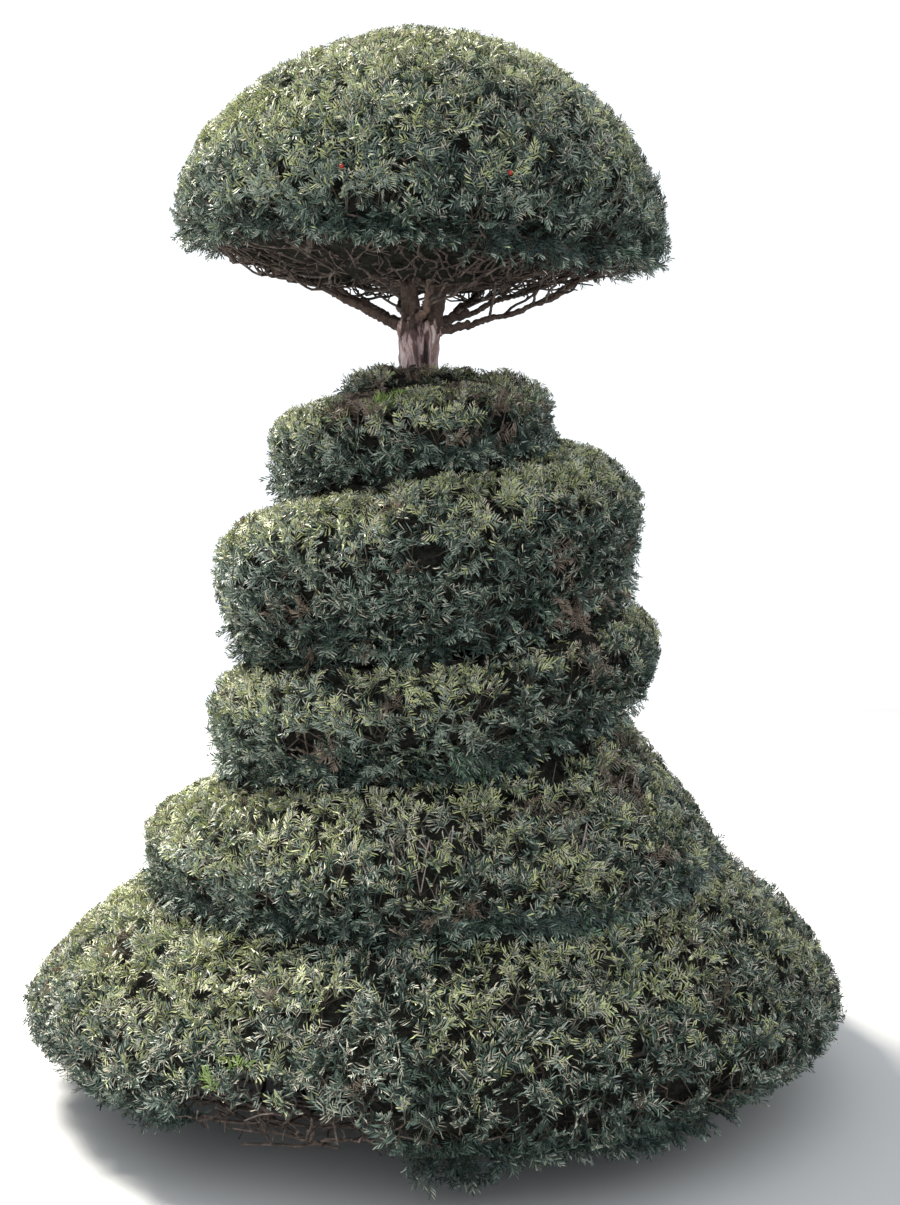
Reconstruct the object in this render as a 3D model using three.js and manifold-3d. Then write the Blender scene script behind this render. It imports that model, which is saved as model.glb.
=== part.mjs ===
// A clipped yew grown as a spiral topiary and rooted in the open ground.
// A forked trunk carries a mushroom-shaped head on bare limbs. Below it a ramp of foliage
// winds round the trunk, wider at every turn, and ends in a broad skirt just off the ground.
// Units are millimetres and +Z is up. The origin is the middle of the flat cut at the foot
// of the trunk, +X is the right of the front view and -Y is its front.

import * as THREE from 'three';
import { mergeVertices } from 'three/addons/utils/BufferGeometryUtils.js';
import Module from 'manifold-3d';

const wasm = await Module();
wasm.setup();

// Clearances and the seed of every random choice
const SEED = 7;
const CLEARANCE = 0.35;
const TIER_GAP = 4;
const SPRAY_GAP = 5;

// Trunk: radii at named heights, five root buttresses and a cleft between the two stems
const TRUNK_SIDES = 15;
const TRUNK_LEAN = -21;
const TRUNK_FORK_Z = 1583;
const TRUNK_LEVELS = [
  { z: 0, radius: 82, oval: 1, cleft: 0 },
  { z: 22, radius: 72, oval: 1, cleft: 0 },
  { z: 70, radius: 61, oval: 1, cleft: 0 },
  { z: 170, radius: 55, oval: 1, cleft: 0 },
  { z: 700, radius: 47, oval: 1, cleft: 0 },
  { z: 1200, radius: 40, oval: 1, cleft: 0.04 },
  { z: 1440, radius: 37, oval: 1, cleft: 0.08 },
  { z: 1510, radius: 38, oval: 1.03, cleft: 0.16 },
  { z: 1556, radius: 40, oval: 1.12, cleft: 0.3 },
  { z: TRUNK_FORK_Z, radius: 38, oval: 1.14, cleft: 0.42 },
];
const BUTTRESSES = 5;
const BUTTRESS_DEPTH = 0.13;
const BUTTRESS_TOP = 260;
const CLEFT_AZIMUTH = 278;
const CLEFT_WIDTH = 26;

// Stems and boughs between the fork and the head. A foot or a tip is its azimuth in degrees
// from +X towards the back, its radius and its height: a foot's from the trunk's middle line,
// a tip's from the origin. A bend is how far the middle sags and how far it sways sideways.
const LIMB_STEPS = 8;
const STEM_SIDES = 8;
const BOUGH_SIDES = 6;
const STEMS = [
  { name: 'stem_left', foot: [190, 19, 1562], tip: [200, 38, 1726], bend: [0, 3], radii: [19, 15] },
  { name: 'stem_right', foot: [8, 24, 1562], tip: [14, 46, 1722], bend: [0, -3], radii: [19, 14] },
];
const BOUGHS = [
  { name: 'bough_left', foot: [184, 22, 1566], tip: [181, 440, 1740], bend: [-7, 12], radii: [10, 4.5] },
  { name: 'bough_front', foot: [214, 22, 1568], tip: [270, 200, 1722], bend: [4, 16], radii: [9.5, 6] },
  { name: 'bough_front_left', foot: [212, 20, 1652], tip: [240, 400, 1738], bend: [0, -8], radii: [7, 4] },
  { name: 'bough_front_right', foot: [2, 46, 1650], tip: [312, 405, 1732], bend: [20, 14], radii: [7, 4] },
  { name: 'bough_right_low', foot: [352, 22, 1556], tip: [1, 452, 1736], bend: [24, -10], radii: [7, 4] },
  { name: 'bough_right_high', foot: [20, 40, 1580], tip: [20, 420, 1732], bend: [8, 14], radii: [7.5, 4] },
  { name: 'bough_back_right', foot: [60, 22, 1564], tip: [62, 430, 1738], bend: [12, -16], radii: [9, 4.5] },
  { name: 'bough_back', foot: [110, 22, 1566], tip: [102, 425, 1740], bend: [6, 14], radii: [8.5, 4.5] },
  { name: 'bough_back_left', foot: [150, 24, 1568], tip: [141, 430, 1740], bend: [2, -12], radii: [8.5, 4.5] },
];

// The spiral. The groove under each tier climbs counter-clockwise seen from above, and there
// is a station every half turn, first on the right and then on the left. crestR is how far
// the tier over the groove stands out, and step runs from a smooth cone, 0, to a ledge, 1.
const STATIONS = [
  { grooveZ: 395, grooveR: 665, crestR: 675, step: 0.3 },
  { grooveZ: 412, grooveR: 570, crestR: 605, step: 0.75 },
  { grooveZ: 480, grooveR: 605, crestR: 610, step: 0 },
  { grooveZ: 619, grooveR: 425, crestR: 470, step: 0.8 },
  { grooveZ: 774, grooveR: 400, crestR: 495, step: 1 },
  { grooveZ: 865, grooveR: 380, crestR: 452, step: 1 },
  { grooveZ: 996, grooveR: 405, crestR: 449, step: 1 },
  { grooveZ: 1196, grooveR: 295, crestR: 338, step: 1 },
  { grooveZ: 1337, grooveR: 250, crestR: 262, step: 1 },
  { grooveZ: 1425, grooveR: 170, crestR: 180, step: 1 },
  { grooveZ: 1470, grooveR: 120, crestR: 120, step: 1 },
];
const TURNS = (STATIONS.length - 1) / 2;
const LAST_TURN = 5 / 6;
const TOP_Z = 1492;
const TOP_RADIUS = 62;
const CONE_CREST = 0.1;
const LEDGE_CREST = 0.6;
const CONE_POWER = 1.05;
const LEDGE_POWER = 2;

// The skirt below the first groove
const HEM_Z = 88;
const HEM_RADIUS = 735;
const UNDERSIDE_Z = 150;
const SKIRT_Z = 172;
const SKIRT_LEFT = 852;
const SKIRT_RIGHT = 882;
const SKIRT_POWER = 1.35;

// The head: a dome over a shallow cone of bare wood
const HEAD_X = -12;
const HEAD_RADIUS = 512;
const HEAD_RIM_Z = 1762;
const HEAD_TOP_Z = 2182;
const HEAD_POWER = 1.86;
const HEAD_TILT = 28;
const HEAD_CEILING_Z = 1694;
const HEAD_EAVE_Z = 1736;
const HEAD_EAVE_RADIUS = 410;
const HEAD_THROAT_RADIUS = 150;
const HEAD_SEGMENTS = 26;

// Cores sit this far under the clipped surface, and sprays fill the depth between
const CORE_DEPTH = 15;
const BORE_CLEARANCE = 15;
const CORE_STEPS = 12;
const FACE_STEPS = 3;
const LEDGE_STEPS = 4;
const HEAD_STEPS = 8;
const HEAD_FRINGE = 40;
const SITE_SPACING = 204;
const SPRAY_LENGTH = 128;
const SPRAY_WIDTH = 32;
const SPRAY_THICKNESS = 3;
const SPRAY_RISE = 0.42;
const SPRAY_SPREAD = 2.4;
const SPRAY_ATTEMPTS = 12;
const STEEP_RISE = 1;
const STEEP_LENGTH = 0.7;
const LENGTH_STRAY = 0.15;
const TIP_PROUD = 9;
const TIP_STRAY = 0.45;
const ROOT_DEPTH = 24;
const ROW_STAGGER = 0.22;
const COLUMN_STRAY = 0.15;
const ROW_STRAY = 0.2;
const STEM_RADIUS = 9;
const STEM_FOOT = 0.7;
const TWIG_RADIUS = 3;
const TWIG_TAPER = 0.85;
const TWIG_LAP = 1;
const TWIG_LINK = 160;
const PATH_SHARE = 0.3;

const bark = new THREE.MeshStandardMaterial({ color: 0x7a5a50, roughness: 0.88, metalness: 0 });
const foliage = new THREE.MeshStandardMaterial({ color: 0x4d5f40, roughness: 0.7, metalness: 0 });
const shadedFoliage = new THREE.MeshStandardMaterial({ color: 0x3a4d3a, roughness: 0.75, metalness: 0 });

const { clamp, degToRad, lerp } = THREE.MathUtils;

// Random numbers that are the same on every run
function randomFrom(seed) {
  let state = seed;
  return () => {
    state = (state + 0x6d2b79f5) | 0;
    let mixed = Math.imul(state ^ (state >>> 15), 1 | state);
    mixed = (mixed + Math.imul(mixed ^ (mixed >>> 7), 61 | mixed)) ^ mixed;
    return ((mixed ^ (mixed >>> 14)) >>> 0) / 4294967296;
  };
}

// A factor that strays from one by up to a share either way
function stray(random, share) {
  return 1 + (2 * random() - 1) * share;
}

function polar(azimuth, radius, z) {
  return new THREE.Vector3(radius * Math.cos(azimuth), radius * Math.sin(azimuth), z);
}

// Closed meshes

// A closed skin over rings of points, one after the other. An end is a fan about its middle,
// or about its first point where its outline bulges all round.
// A quad's diagonal starts at its point farther from the origin, so that two skins that
// follow the same warped surface are cut into the same faces.
function loft(rings, convexEnds = false) {
  const sides = rings[0].length;
  const last = (rings.length - 1) * sides;
  const points = rings.flat();
  const middleOf = (ring) => ring.reduce((sum, point) => sum.add(point), new THREE.Vector3())
    .divideScalar(sides);
  const index = [];
  for (let i = 0; i + 1 < rings.length; i++) {
    for (let j = 0; j < sides; j++) {
      const a = i * sides + j;
      const b = i * sides + ((j + 1) % sides);
      if (points[a].length() > points[b].length()) {
        index.push(a, b, b + sides, a, b + sides, a + sides);
      } else {
        index.push(a, b, a + sides, b, b + sides, a + sides);
      }
    }
  }
  for (let j = convexEnds ? 1 : 0; j < (convexEnds ? sides - 1 : sides); j++) {
    const next = (j + 1) % sides;
    index.push(convexEnds ? 0 : points.length, next, j);
    index.push(convexEnds ? last : points.length + 1, last + j, last + next);
  }
  if (!convexEnds) points.push(middleOf(rings[0]), middleOf(rings.at(-1)));
  const geometry = new THREE.BufferGeometry().setFromPoints(points);
  geometry.setIndex(index);
  return geometry;
}

function solidOf(geometry) {
  const bare = geometry.clone();
  bare.deleteAttribute('normal');
  bare.deleteAttribute('uv');
  const merged = mergeVertices(bare, 1e-3);
  const triVerts = Uint32Array.from(merged.index.array);
  const vertProperties = Float32Array.from(merged.attributes.position.array);
  const solid = new wasm.Manifold(new wasm.Mesh({ numProp: 3, vertProperties, triVerts }));
  if (solid.volume() > 0) return solid;
  for (let i = 0; i < triVerts.length; i += 3) {
    [triVerts[i], triVerts[i + 1]] = [triVerts[i + 1], triVerts[i]];
  }
  return new wasm.Manifold(new wasm.Mesh({ numProp: 3, vertProperties, triVerts }));
}

// The largest body of a solid: loose scraps and sealed hollows are left behind
function mainBody(solid) {
  return solid.decompose().reduce((best, body) => (body.volume() > best.volume() ? body : best));
}

function meshOf(name, solid, material) {
  const { vertProperties, triVerts } = mainBody(solid).getMesh();
  const geometry = new THREE.BufferGeometry();
  geometry.setAttribute('position', new THREE.BufferAttribute(vertProperties, 3));
  geometry.setIndex(new THREE.BufferAttribute(triVerts, 1));
  geometry.computeVertexNormals();
  const mesh = new THREE.Mesh(geometry, material);
  mesh.name = name;
  return mesh;
}

// Trunk and limbs

function trunkAxis(z) {
  return new THREE.Vector3(TRUNK_LEAN * (z / TRUNK_FORK_Z) ** 1.4, 0, z);
}

// Radius of the trunk's bark, out to its buttresses
function trunkReach(z) {
  const levels = TRUNK_LEVELS;
  const i = clamp(levels.findIndex((level) => level.z > z), 1, levels.length - 1);
  const share = clamp((z - levels[i - 1].z) / (levels[i].z - levels[i - 1].z), 0, 1);
  const buttress = 1 + BUTTRESS_DEPTH * clamp(1 - z / BUTTRESS_TOP, 0, 1);
  const [low, high] = [levels[i - 1], levels[i]];
  return lerp(low.radius * low.oval, high.radius * high.oval, share) * buttress;
}

function trunkRing(level, grown) {
  const centre = trunkAxis(level.z);
  const ring = [];
  for (let i = 0; i < TRUNK_SIDES; i++) {
    const angle = (2 * Math.PI * i) / TRUNK_SIDES;
    const fade = clamp(1 - level.z / BUTTRESS_TOP, 0, 1);
    const buttress = 1 + BUTTRESS_DEPTH * fade * Math.cos(BUTTRESSES * angle);
    const fromCleft = Math.abs(angle - degToRad(CLEFT_AZIMUTH)) / degToRad(CLEFT_WIDTH);
    const cleft = 1 - level.cleft * Math.exp(-fromCleft * fromCleft);
    const radius = level.radius * buttress * cleft + grown;
    ring.push(new THREE.Vector3(
      centre.x + radius * level.oval * Math.cos(angle),
      centre.y + radius * Math.sin(angle),
      level.z,
    ));
  }
  return ring;
}

function trunkSolid(grown) {
  const rings = TRUNK_LEVELS.map((level) => trunkRing(level, grown));
  if (grown > 0) {
    rings.at(-1).forEach((point) => { point.z += grown; });
  }
  return solidOf(loft(rings));
}

// The middle line of a limb, worked out from its foot, its tip and its bend
function limbCurve(limb) {
  const [footAzimuth, footRadius, footZ] = limb.foot;
  const [tipAzimuth, tipRadius, tipZ] = limb.tip;
  const [sag, sway] = limb.bend;
  const foot = trunkAxis(footZ).add(polar(degToRad(footAzimuth), footRadius, 0));
  const tip = polar(degToRad(tipAzimuth), tipRadius, tipZ);
  const side = new THREE.Vector3(foot.y - tip.y, tip.x - foot.x, 0).normalize();
  const points = [0, 0.25, 0.5, 0.75, 1].map((share) => {
    const point = foot.clone().lerp(tip, share);
    point.addScaledVector(side, sway * Math.sin(2 * Math.PI * share) * (1 - share / 2));
    point.z -= sag * Math.sin(Math.PI * share);
    return point;
  });
  return new THREE.CatmullRomCurve3(points);
}

// A tapering tube along a curve. A grown one is the room that its neighbours keep clear.
function tubeSolid(curve, radii, sides, steps, grown = 0) {
  const frames = curve.computeFrenetFrames(steps, false);
  const rings = [];
  for (let i = 0; i <= steps; i++) {
    const share = i / steps;
    const centre = curve.getPointAt(share);
    if (i === 0) centre.addScaledVector(frames.tangents[i], -grown);
    if (i === steps) centre.addScaledVector(frames.tangents[i], grown);
    const radius = lerp(radii[0], radii[1], share) + grown;
    const ring = [];
    for (let j = 0; j < sides; j++) {
      const angle = (2 * Math.PI * j) / sides;
      const point = centre.clone();
      point.addScaledVector(frames.normals[i], radius * Math.cos(angle));
      point.addScaledVector(frames.binormals[i], radius * Math.sin(angle));
      ring.push(point);
    }
    rings.push(ring);
  }
  return solidOf(loft(rings, true));
}

// The clipped surface

// A named size at a turn of the spiral, on a smooth curve through the stations
function station(size, turn) {
  const place = clamp((turn - 1) * 2, 0, STATIONS.length - 1 - 1e-9);
  const i = Math.floor(place);
  const at = (j) => STATIONS[clamp(j, 0, STATIONS.length - 1)][size];
  const share = place - i;
  const [before, from, to, after] = [at(i - 1), at(i), at(i + 1), at(i + 2)];
  const startSlope = (to - before) / 2;
  const endSlope = (after - from) / 2;
  const squared = share * share;
  const cubed = squared * share;
  return (2 * cubed - 3 * squared + 1) * from + (cubed - 2 * squared + share) * startSlope
    + (3 * squared - 2 * cubed) * to + (cubed - squared) * endSlope;
}

// The lower and upper edge of a tier at a turn, as radius and height. Tier 0 is the skirt.
function tierFloor(number, turn) {
  return number === 0
    ? new THREE.Vector2(HEM_RADIUS, HEM_Z)
    : new THREE.Vector2(station('grooveR', turn), station('grooveZ', turn));
}

function tierRoof(number, turn) {
  return number === TURNS
    ? new THREE.Vector2(TOP_RADIUS, TOP_Z)
    : new THREE.Vector2(station('grooveR', turn + 1), station('grooveZ', turn + 1));
}

// A quarter of a superellipse from the crest up and in to the groove above
function ledge(crest, groove, power, steps) {
  const points = [];
  for (let i = 0; i <= steps; i++) {
    const angle = (Math.PI / 2) * (i / steps);
    const out = Math.cos(angle) ** (2 / power);
    const up = Math.sin(angle) ** (2 / power);
    points.push(new THREE.Vector2(lerp(groove.x, crest.x, out), lerp(crest.y, groove.y, up)));
  }
  return points;
}

// A face that swells from the edge below it to the crest, without the crest itself
function face(edge, crest, steps) {
  const points = [];
  for (let i = 0; i < steps; i++) {
    const share = i / steps;
    const swell = Math.sin((Math.PI / 2) * share);
    points.push(new THREE.Vector2(lerp(edge.x, crest.x, swell), lerp(edge.y, crest.y, share)));
  }
  return points;
}

// Outline of a tier at a turn, from its lower edge to its upper one
function tierProfile(number, turn) {
  const below = tierFloor(number, turn);
  const above = tierRoof(number, turn);
  if (number === 0) {
    const lean = (SKIRT_RIGHT - SKIRT_LEFT) / 2;
    const crest = new THREE.Vector2(SKIRT_LEFT + lean + lean * Math.cos(2 * Math.PI * turn), SKIRT_Z);
    return [...face(below, crest, FACE_STEPS), ...ledge(crest, above, SKIRT_POWER, LEDGE_STEPS)];
  }
  const step = clamp(station('step', turn), 0, 1);
  const crestZ = lerp(below.y, above.y, lerp(CONE_CREST, LEDGE_CREST, step));
  const crest = new THREE.Vector2(station('crestR', turn), crestZ);
  const power = lerp(CONE_POWER, LEDGE_POWER, step);
  return [...face(below, crest, FACE_STEPS), ...ledge(crest, above, power, LEDGE_STEPS)];
}

// Outward normal of an outline at one of its points
function outlineNormal(points, i) {
  const before = points[Math.max(i - 1, 0)];
  const after = points[Math.min(i + 1, points.length - 1)];
  const along = after.clone().sub(before).normalize();
  return new THREE.Vector2(along.y, -along.x);
}

function inset(points, depth, floor, roof) {
  return points.map((point, i) => {
    const moved = point.clone().addScaledVector(outlineNormal(points, i), -depth);
    moved.y = clamp(moved.y, floor, roof);
    return moved;
  });
}

// A point and its outward normal at a share of an outline's length
function alongOutline(points, share) {
  const lengths = points.slice(1).map((point, i) => point.distanceTo(points[i]));
  let left = share * lengths.reduce((sum, length) => sum + length, 0);
  let i = 0;
  while (i < lengths.length - 1 && left > lengths[i]) {
    left -= lengths[i];
    i += 1;
  }
  const along = points[i + 1].clone().sub(points[i]).normalize();
  return {
    at: points[i].clone().addScaledVector(along, left),
    normal: new THREE.Vector2(along.y, -along.x),
  };
}

// How far an outline reaches out at a height, or nothing above and below it
function reachAt(points, z) {
  const i = points.findIndex((point, j) => j > 0 && (point.y - z) * (points[j - 1].y - z) <= 0);
  if (i < 0) return 0;
  const share = (z - points[i - 1].y) / (points[i].y - points[i - 1].y || 1);
  return lerp(points[i - 1].x, points[i].x, share);
}

function outlineLength(points) {
  return points.slice(1).reduce((sum, point, i) => sum + point.distanceTo(points[i]), 0);
}

function headProfile() {
  const rim = new THREE.Vector2(HEAD_RADIUS, HEAD_RIM_Z);
  return ledge(rim, new THREE.Vector2(0, HEAD_TOP_Z), HEAD_POWER, HEAD_STEPS);
}

// The head's rim is higher on the left than on the right
function tiltHead(point) {
  const low = clamp((HEAD_TOP_Z - point.z) / (HEAD_TOP_Z - HEAD_RIM_Z), 0, 1);
  return new THREE.Vector3(
    point.x + HEAD_X,
    point.y,
    point.z - HEAD_TILT * (point.x / HEAD_RADIUS) * low,
  );
}

// Cores

// Half a turn of a tier: a block between two grooves, bored wide of the trunk
function tierCore(tier) {
  const rings = [];
  for (let i = 0; i <= CORE_STEPS; i++) {
    const turn = tier.from + (0.5 * i) / CORE_STEPS;
    if (turn > tier.to + 1e-9) break;
    const angle = 2 * Math.PI * turn;
    const floor = tierFloor(tier.number, turn).y + TIER_GAP / 2;
    const roof = tierRoof(tier.number, turn).y - TIER_GAP / 2;
    const outline = inset(tierProfile(tier.number, turn), CORE_DEPTH, floor, roof);
    const innerFloor = tier.number === 0 ? UNDERSIDE_Z : floor;
    outline.push(new THREE.Vector2(trunkReach(roof) + BORE_CLEARANCE, roof));
    outline.push(new THREE.Vector2(trunkReach(innerFloor) + BORE_CLEARANCE, innerFloor));
    rings.push(outline.map(({ x, y }) => polar(angle, x, y).add(tier.shift)));
  }
  return solidOf(loft(rings));
}

function headCore() {
  const dome = inset(headProfile(), CORE_DEPTH, HEAD_CEILING_Z, HEAD_TOP_Z - CORE_DEPTH);
  const ceiling = [
    new THREE.Vector2(0, HEAD_CEILING_Z),
    new THREE.Vector2(HEAD_THROAT_RADIUS, HEAD_CEILING_Z),
    new THREE.Vector2(HEAD_EAVE_RADIUS, HEAD_EAVE_Z),
  ];
  dome.at(-1).x = 0;
  const geometry = new THREE.LatheGeometry([...ceiling, ...dome], HEAD_SEGMENTS);
  geometry.rotateX(Math.PI / 2);
  const place = geometry.attributes.position;
  for (let i = 0; i < place.count; i++) {
    const point = tiltHead(new THREE.Vector3().fromBufferAttribute(place, i));
    place.setXYZ(i, point.x, point.y, point.z);
  }
  return solidOf(geometry);
}

// Sprays

// Half of a spray's outline from its foot to its tip, as shares of its length and half width.
// Its needles point forwards, and the rib that they spring from has two joints.
const SPRAY_HALF = [[0, 0.18], [0.46, 0.22], [0.78, 1], [0.66, 0.28], [0.98, 0.85], [0.88, 0.2]];
const SPRAY_NOTCH = 3;
const SPRAY_RIBS = [0.42, 0.74];

// A flat spray of needles: a blade with a narrow foot and toothed sides, thickest on its rib
function spraySolid({ root, direction, flat, length }) {
  const side = direction.clone().cross(flat).normalize();
  const thick = side.clone().cross(direction).normalize();
  const at = (along, across, lift) => root.clone()
    .addScaledVector(direction, along * length)
    .addScaledVector(side, across * SPRAY_WIDTH)
    .addScaledVector(thick, lift * SPRAY_THICKNESS);
  const outline = [
    ...SPRAY_HALF.map(([along, across]) => at(along, across, 0)),
    at(1, 0, 0),
    ...SPRAY_HALF.toReversed().map(([along, across]) => at(along, -across, 0)),
  ];
  const count = outline.length;
  const otherNotch = count - 1 - SPRAY_NOTCH;
  const [topFoot, topTip, bottomFoot, bottomTip] = [count, count + 1, count + 2, count + 3];
  const index = [
    SPRAY_NOTCH, topTip, topFoot, otherNotch, topFoot, topTip,
    SPRAY_NOTCH, bottomFoot, bottomTip, otherNotch, bottomTip, bottomFoot,
  ];
  for (let i = 0; i < count; i++) {
    const next = (i + 1) % count;
    const isOuter = i >= SPRAY_NOTCH && i < otherNotch;
    index.push(i, next, isOuter ? topTip : topFoot);
    index.push(next, i, isOuter ? bottomTip : bottomFoot);
  }
  const ribs = [0.5, -0.5].flatMap((lift) => SPRAY_RIBS.map((along) => at(along, 0, lift)));
  const geometry = new THREE.BufferGeometry().setFromPoints([...outline, ...ribs]);
  geometry.setIndex(index);
  return { solid: solidOf(geometry), points: outline, root };
}

// A spray that leaves the core at a slant, with its tip a little proud of the clipped surface.
// Of a few random ones, each steeper and shorter, it takes the first that is rooted in the core.
function sprayAt(site, isSunk, random) {
  const level = new THREE.Vector3().crossVectors(site.up, site.normal).normalize();
  const tip = site.at.clone().addScaledVector(site.normal, TIP_PROUD * stray(random, TIP_STRAY));
  const longest = SPRAY_LENGTH * stray(random, LENGTH_STRAY);
  for (let attempt = 0; attempt < SPRAY_ATTEMPTS; attempt++) {
    const share = attempt / SPRAY_ATTEMPTS;
    const spin = (random() - 0.5) * lerp(SPRAY_SPREAD, 2 * Math.PI, share);
    const direction = site.normal.clone().multiplyScalar(lerp(SPRAY_RISE, STEEP_RISE, share))
      .addScaledVector(site.up, Math.cos(spin))
      .addScaledVector(level, Math.sin(spin))
      .normalize();
    const length = longest * lerp(1, STEEP_LENGTH, share);
    const root = tip.clone().addScaledVector(direction, -length);
    if (isSunk(root)) return { root, direction, flat: site.normal, length };
  }
  return null;
}

// Links every root to the wood nearest to it that is already there, and prefers wood that
// is a short way from the stem's foot. A long link gets joints along its length.
function grow(foot, roots) {
  const nodes = [{ at: foot, parent: -1, path: 0, load: 0 }];
  const order = roots.toSorted((a, b) => a.distanceTo(foot) - b.distanceTo(foot));
  for (const root of order) {
    const costs = nodes.map((node) => node.at.distanceTo(root) + PATH_SHARE * node.path);
    let parent = costs.indexOf(Math.min(...costs));
    const start = nodes[parent].at;
    const reach = start.distanceTo(root);
    const joints = Math.ceil(reach / TWIG_LINK);
    for (let i = 1; i <= joints; i++) {
      const path = nodes[parent].path + reach / joints;
      nodes.push({ at: start.clone().lerp(root, i / joints), parent, path, load: 0 });
      parent = nodes.length - 1;
    }
    for (let i = parent; i >= 0; i = nodes[i].parent) nodes[i].load += 1;
  }
  return nodes;
}

// Three-sided twigs along the links, thicker where they carry more
function twigSolids(nodes) {
  const most = nodes[0].load;
  return nodes.slice(1).map((node) => {
    const radius = TWIG_RADIUS + (STEM_RADIUS - TWIG_RADIUS) * Math.sqrt(node.load / most);
    const line = new THREE.LineCurve3(nodes[node.parent].at, node.at);
    return tubeSolid(line, [radius, radius * TWIG_TAPER], 3, 1, TWIG_LAP);
  });
}

// One mass of foliage: a stem, its twigs and sprays, and the core that they stand out of
function massSolid({ core, foot, sites, isOwn, isSunk, random }) {
  const sprays = sites
    .map((site) => sprayAt(site, isSunk, random))
    .filter((spray) => spray !== null)
    .map(spraySolid)
    .filter((spray) => spray.points.every(isOwn));
  const twigs = twigSolids(grow(foot, sprays.map((spray) => spray.root)));
  return [...twigs, ...sprays.map((spray) => spray.solid)].reduce((whole, piece) => whole.add(piece), core);
}

// Places spread evenly over a surface of revolution or of a tier, in staggered rows
function spread({ profileAt, from, to, frameAt, random }) {
  const middle = profileAt((from + to) / 2);
  const rows = Math.max(1, Math.round(outlineLength(middle) / SITE_SPACING));
  const sites = [];
  for (let row = 0; row < rows; row++) {
    const share = (row + 0.5) / rows;
    const radius = alongOutline(middle, share).at.x;
    const columns = Math.max(1, Math.round((2 * Math.PI * (to - from) * radius) / SITE_SPACING));
    for (let column = 0; column < columns; column++) {
      const stagger = 0.5 + (row % 2 ? ROW_STAGGER : -ROW_STAGGER) + (2 * random() - 1) * COLUMN_STRAY;
      const turn = lerp(from, to, (column + stagger) / columns);
      const nudged = share + ((2 * random() - 1) * ROW_STRAY) / rows;
      sites.push(frameAt(turn, alongOutline(profileAt(turn), nudged)));
    }
  }
  return sites;
}

// A place on a surface: the point, the outward normal and the way up the surface
function surfaceFrame(turn, { at, normal }) {
  const angle = 2 * Math.PI * turn;
  return {
    at: polar(angle, at.x, at.y),
    normal: polar(angle, normal.x, normal.y),
    up: polar(angle, -normal.y, normal.x),
  };
}

// Masses

// The turn of the spiral at which a tier passes over or under a point
function turnOf(tier, point) {
  return tier.number + ((Math.atan2(point.y, point.x) / (2 * Math.PI) + 1) % 1);
}

// The space of half a tier: its own side of the trunk, between its two grooves
function tierSpace(tier) {
  return (point) => {
    const turn = turnOf(tier, point);
    const floor = tier.number === 0 ? HEM_Z / 2 : tierFloor(tier.number, turn).y;
    const roof = tierRoof(tier.number, turn).y + (tier.number === TURNS ? SPRAY_GAP : -SPRAY_GAP);
    return point.y * tier.side > SPRAY_GAP / 2
      && point.z > floor + SPRAY_GAP / 2
      && point.z < roof
      && Math.hypot(point.x, point.y) > trunkReach(point.z) + BORE_CLEARANCE;
  };
}

function tierMass(tier, random) {
  const middle = (tier.from + tier.to) / 2;
  const floor = tier.number === 0 ? UNDERSIDE_Z : tierFloor(tier.number, middle).y;
  const footZ = lerp(floor, tierRoof(tier.number, middle).y, 0.5);
  const foot = trunkAxis(footZ).add(polar(2 * Math.PI * middle, trunkReach(footZ) * STEM_FOOT, 0));
  const sites = spread({
    profileAt: (turn) => tierProfile(tier.number, turn),
    from: tier.from,
    to: tier.to,
    frameAt: surfaceFrame,
    random,
  });
  const isOwn = tierSpace(tier);
  const isSunk = (root) => {
    const reach = reachAt(tierProfile(tier.number, turnOf(tier, root)), root.z);
    return isOwn(root) && Math.hypot(root.x, root.y) < reach - ROOT_DEPTH;
  };
  return massSolid({ core: tierCore(tier), foot, sites, isOwn, isSunk, random }).subtract(trunkRoom);
}

function headMass(random) {
  const profile = headProfile();
  const sites = spread({
    profileAt: () => profile,
    from: 0,
    to: 1,
    frameAt: (turn, place) => {
      const site = surfaceFrame(turn, place);
      site.at = tiltHead(site.at);
      return site;
    },
    random,
  });
  const isOwn = (point) => point.z > HEAD_CEILING_Z - HEAD_FRINGE && isClearOfLimbs(point);
  const isSunk = (root) => {
    const reach = reachAt(profile, Math.max(root.z, HEAD_RIM_Z));
    return Math.hypot(root.x - HEAD_X, root.y) < reach - ROOT_DEPTH && root.z > HEAD_RIM_Z - HEAD_TILT;
  };
  const foot = new THREE.Vector3(HEAD_X, 0, HEAD_CEILING_Z + STEM_RADIUS * 4);
  const whole = massSolid({ core: headCore(), foot, sites, isOwn, isSunk, random });
  return limbRooms.reduce((rest, room) => rest.subtract(room.solid), whole);
}

function isClearOfLimbs(point) {
  return limbRooms.every(({ line, radius }) => (
    line.every((at) => at.distanceTo(point) > radius + SPRAY_GAP)
  ));
}

const trunkRoom = trunkSolid(CLEARANCE);
const limbRooms = [];
const plant = new THREE.Group();
plant.add(meshOf('trunk', trunkSolid(0), bark));

for (const limb of [...STEMS, ...BOUGHS]) {
  const curve = limbCurve(limb);
  const sides = STEMS.includes(limb) ? STEM_SIDES : BOUGH_SIDES;
  const fromTrunk = tubeSolid(curve, limb.radii, sides, LIMB_STEPS).subtract(trunkRoom);
  const cut = limbRooms.reduce((rest, room) => rest.subtract(room.solid), fromTrunk);
  plant.add(meshOf(limb.name, cut, bark));
  limbRooms.push({
    solid: tubeSolid(curve, limb.radii, sides, LIMB_STEPS, CLEARANCE),
    line: curve.getSpacedPoints(2 * LIMB_STEPS),
    radius: limb.radii[0],
  });
}

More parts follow.
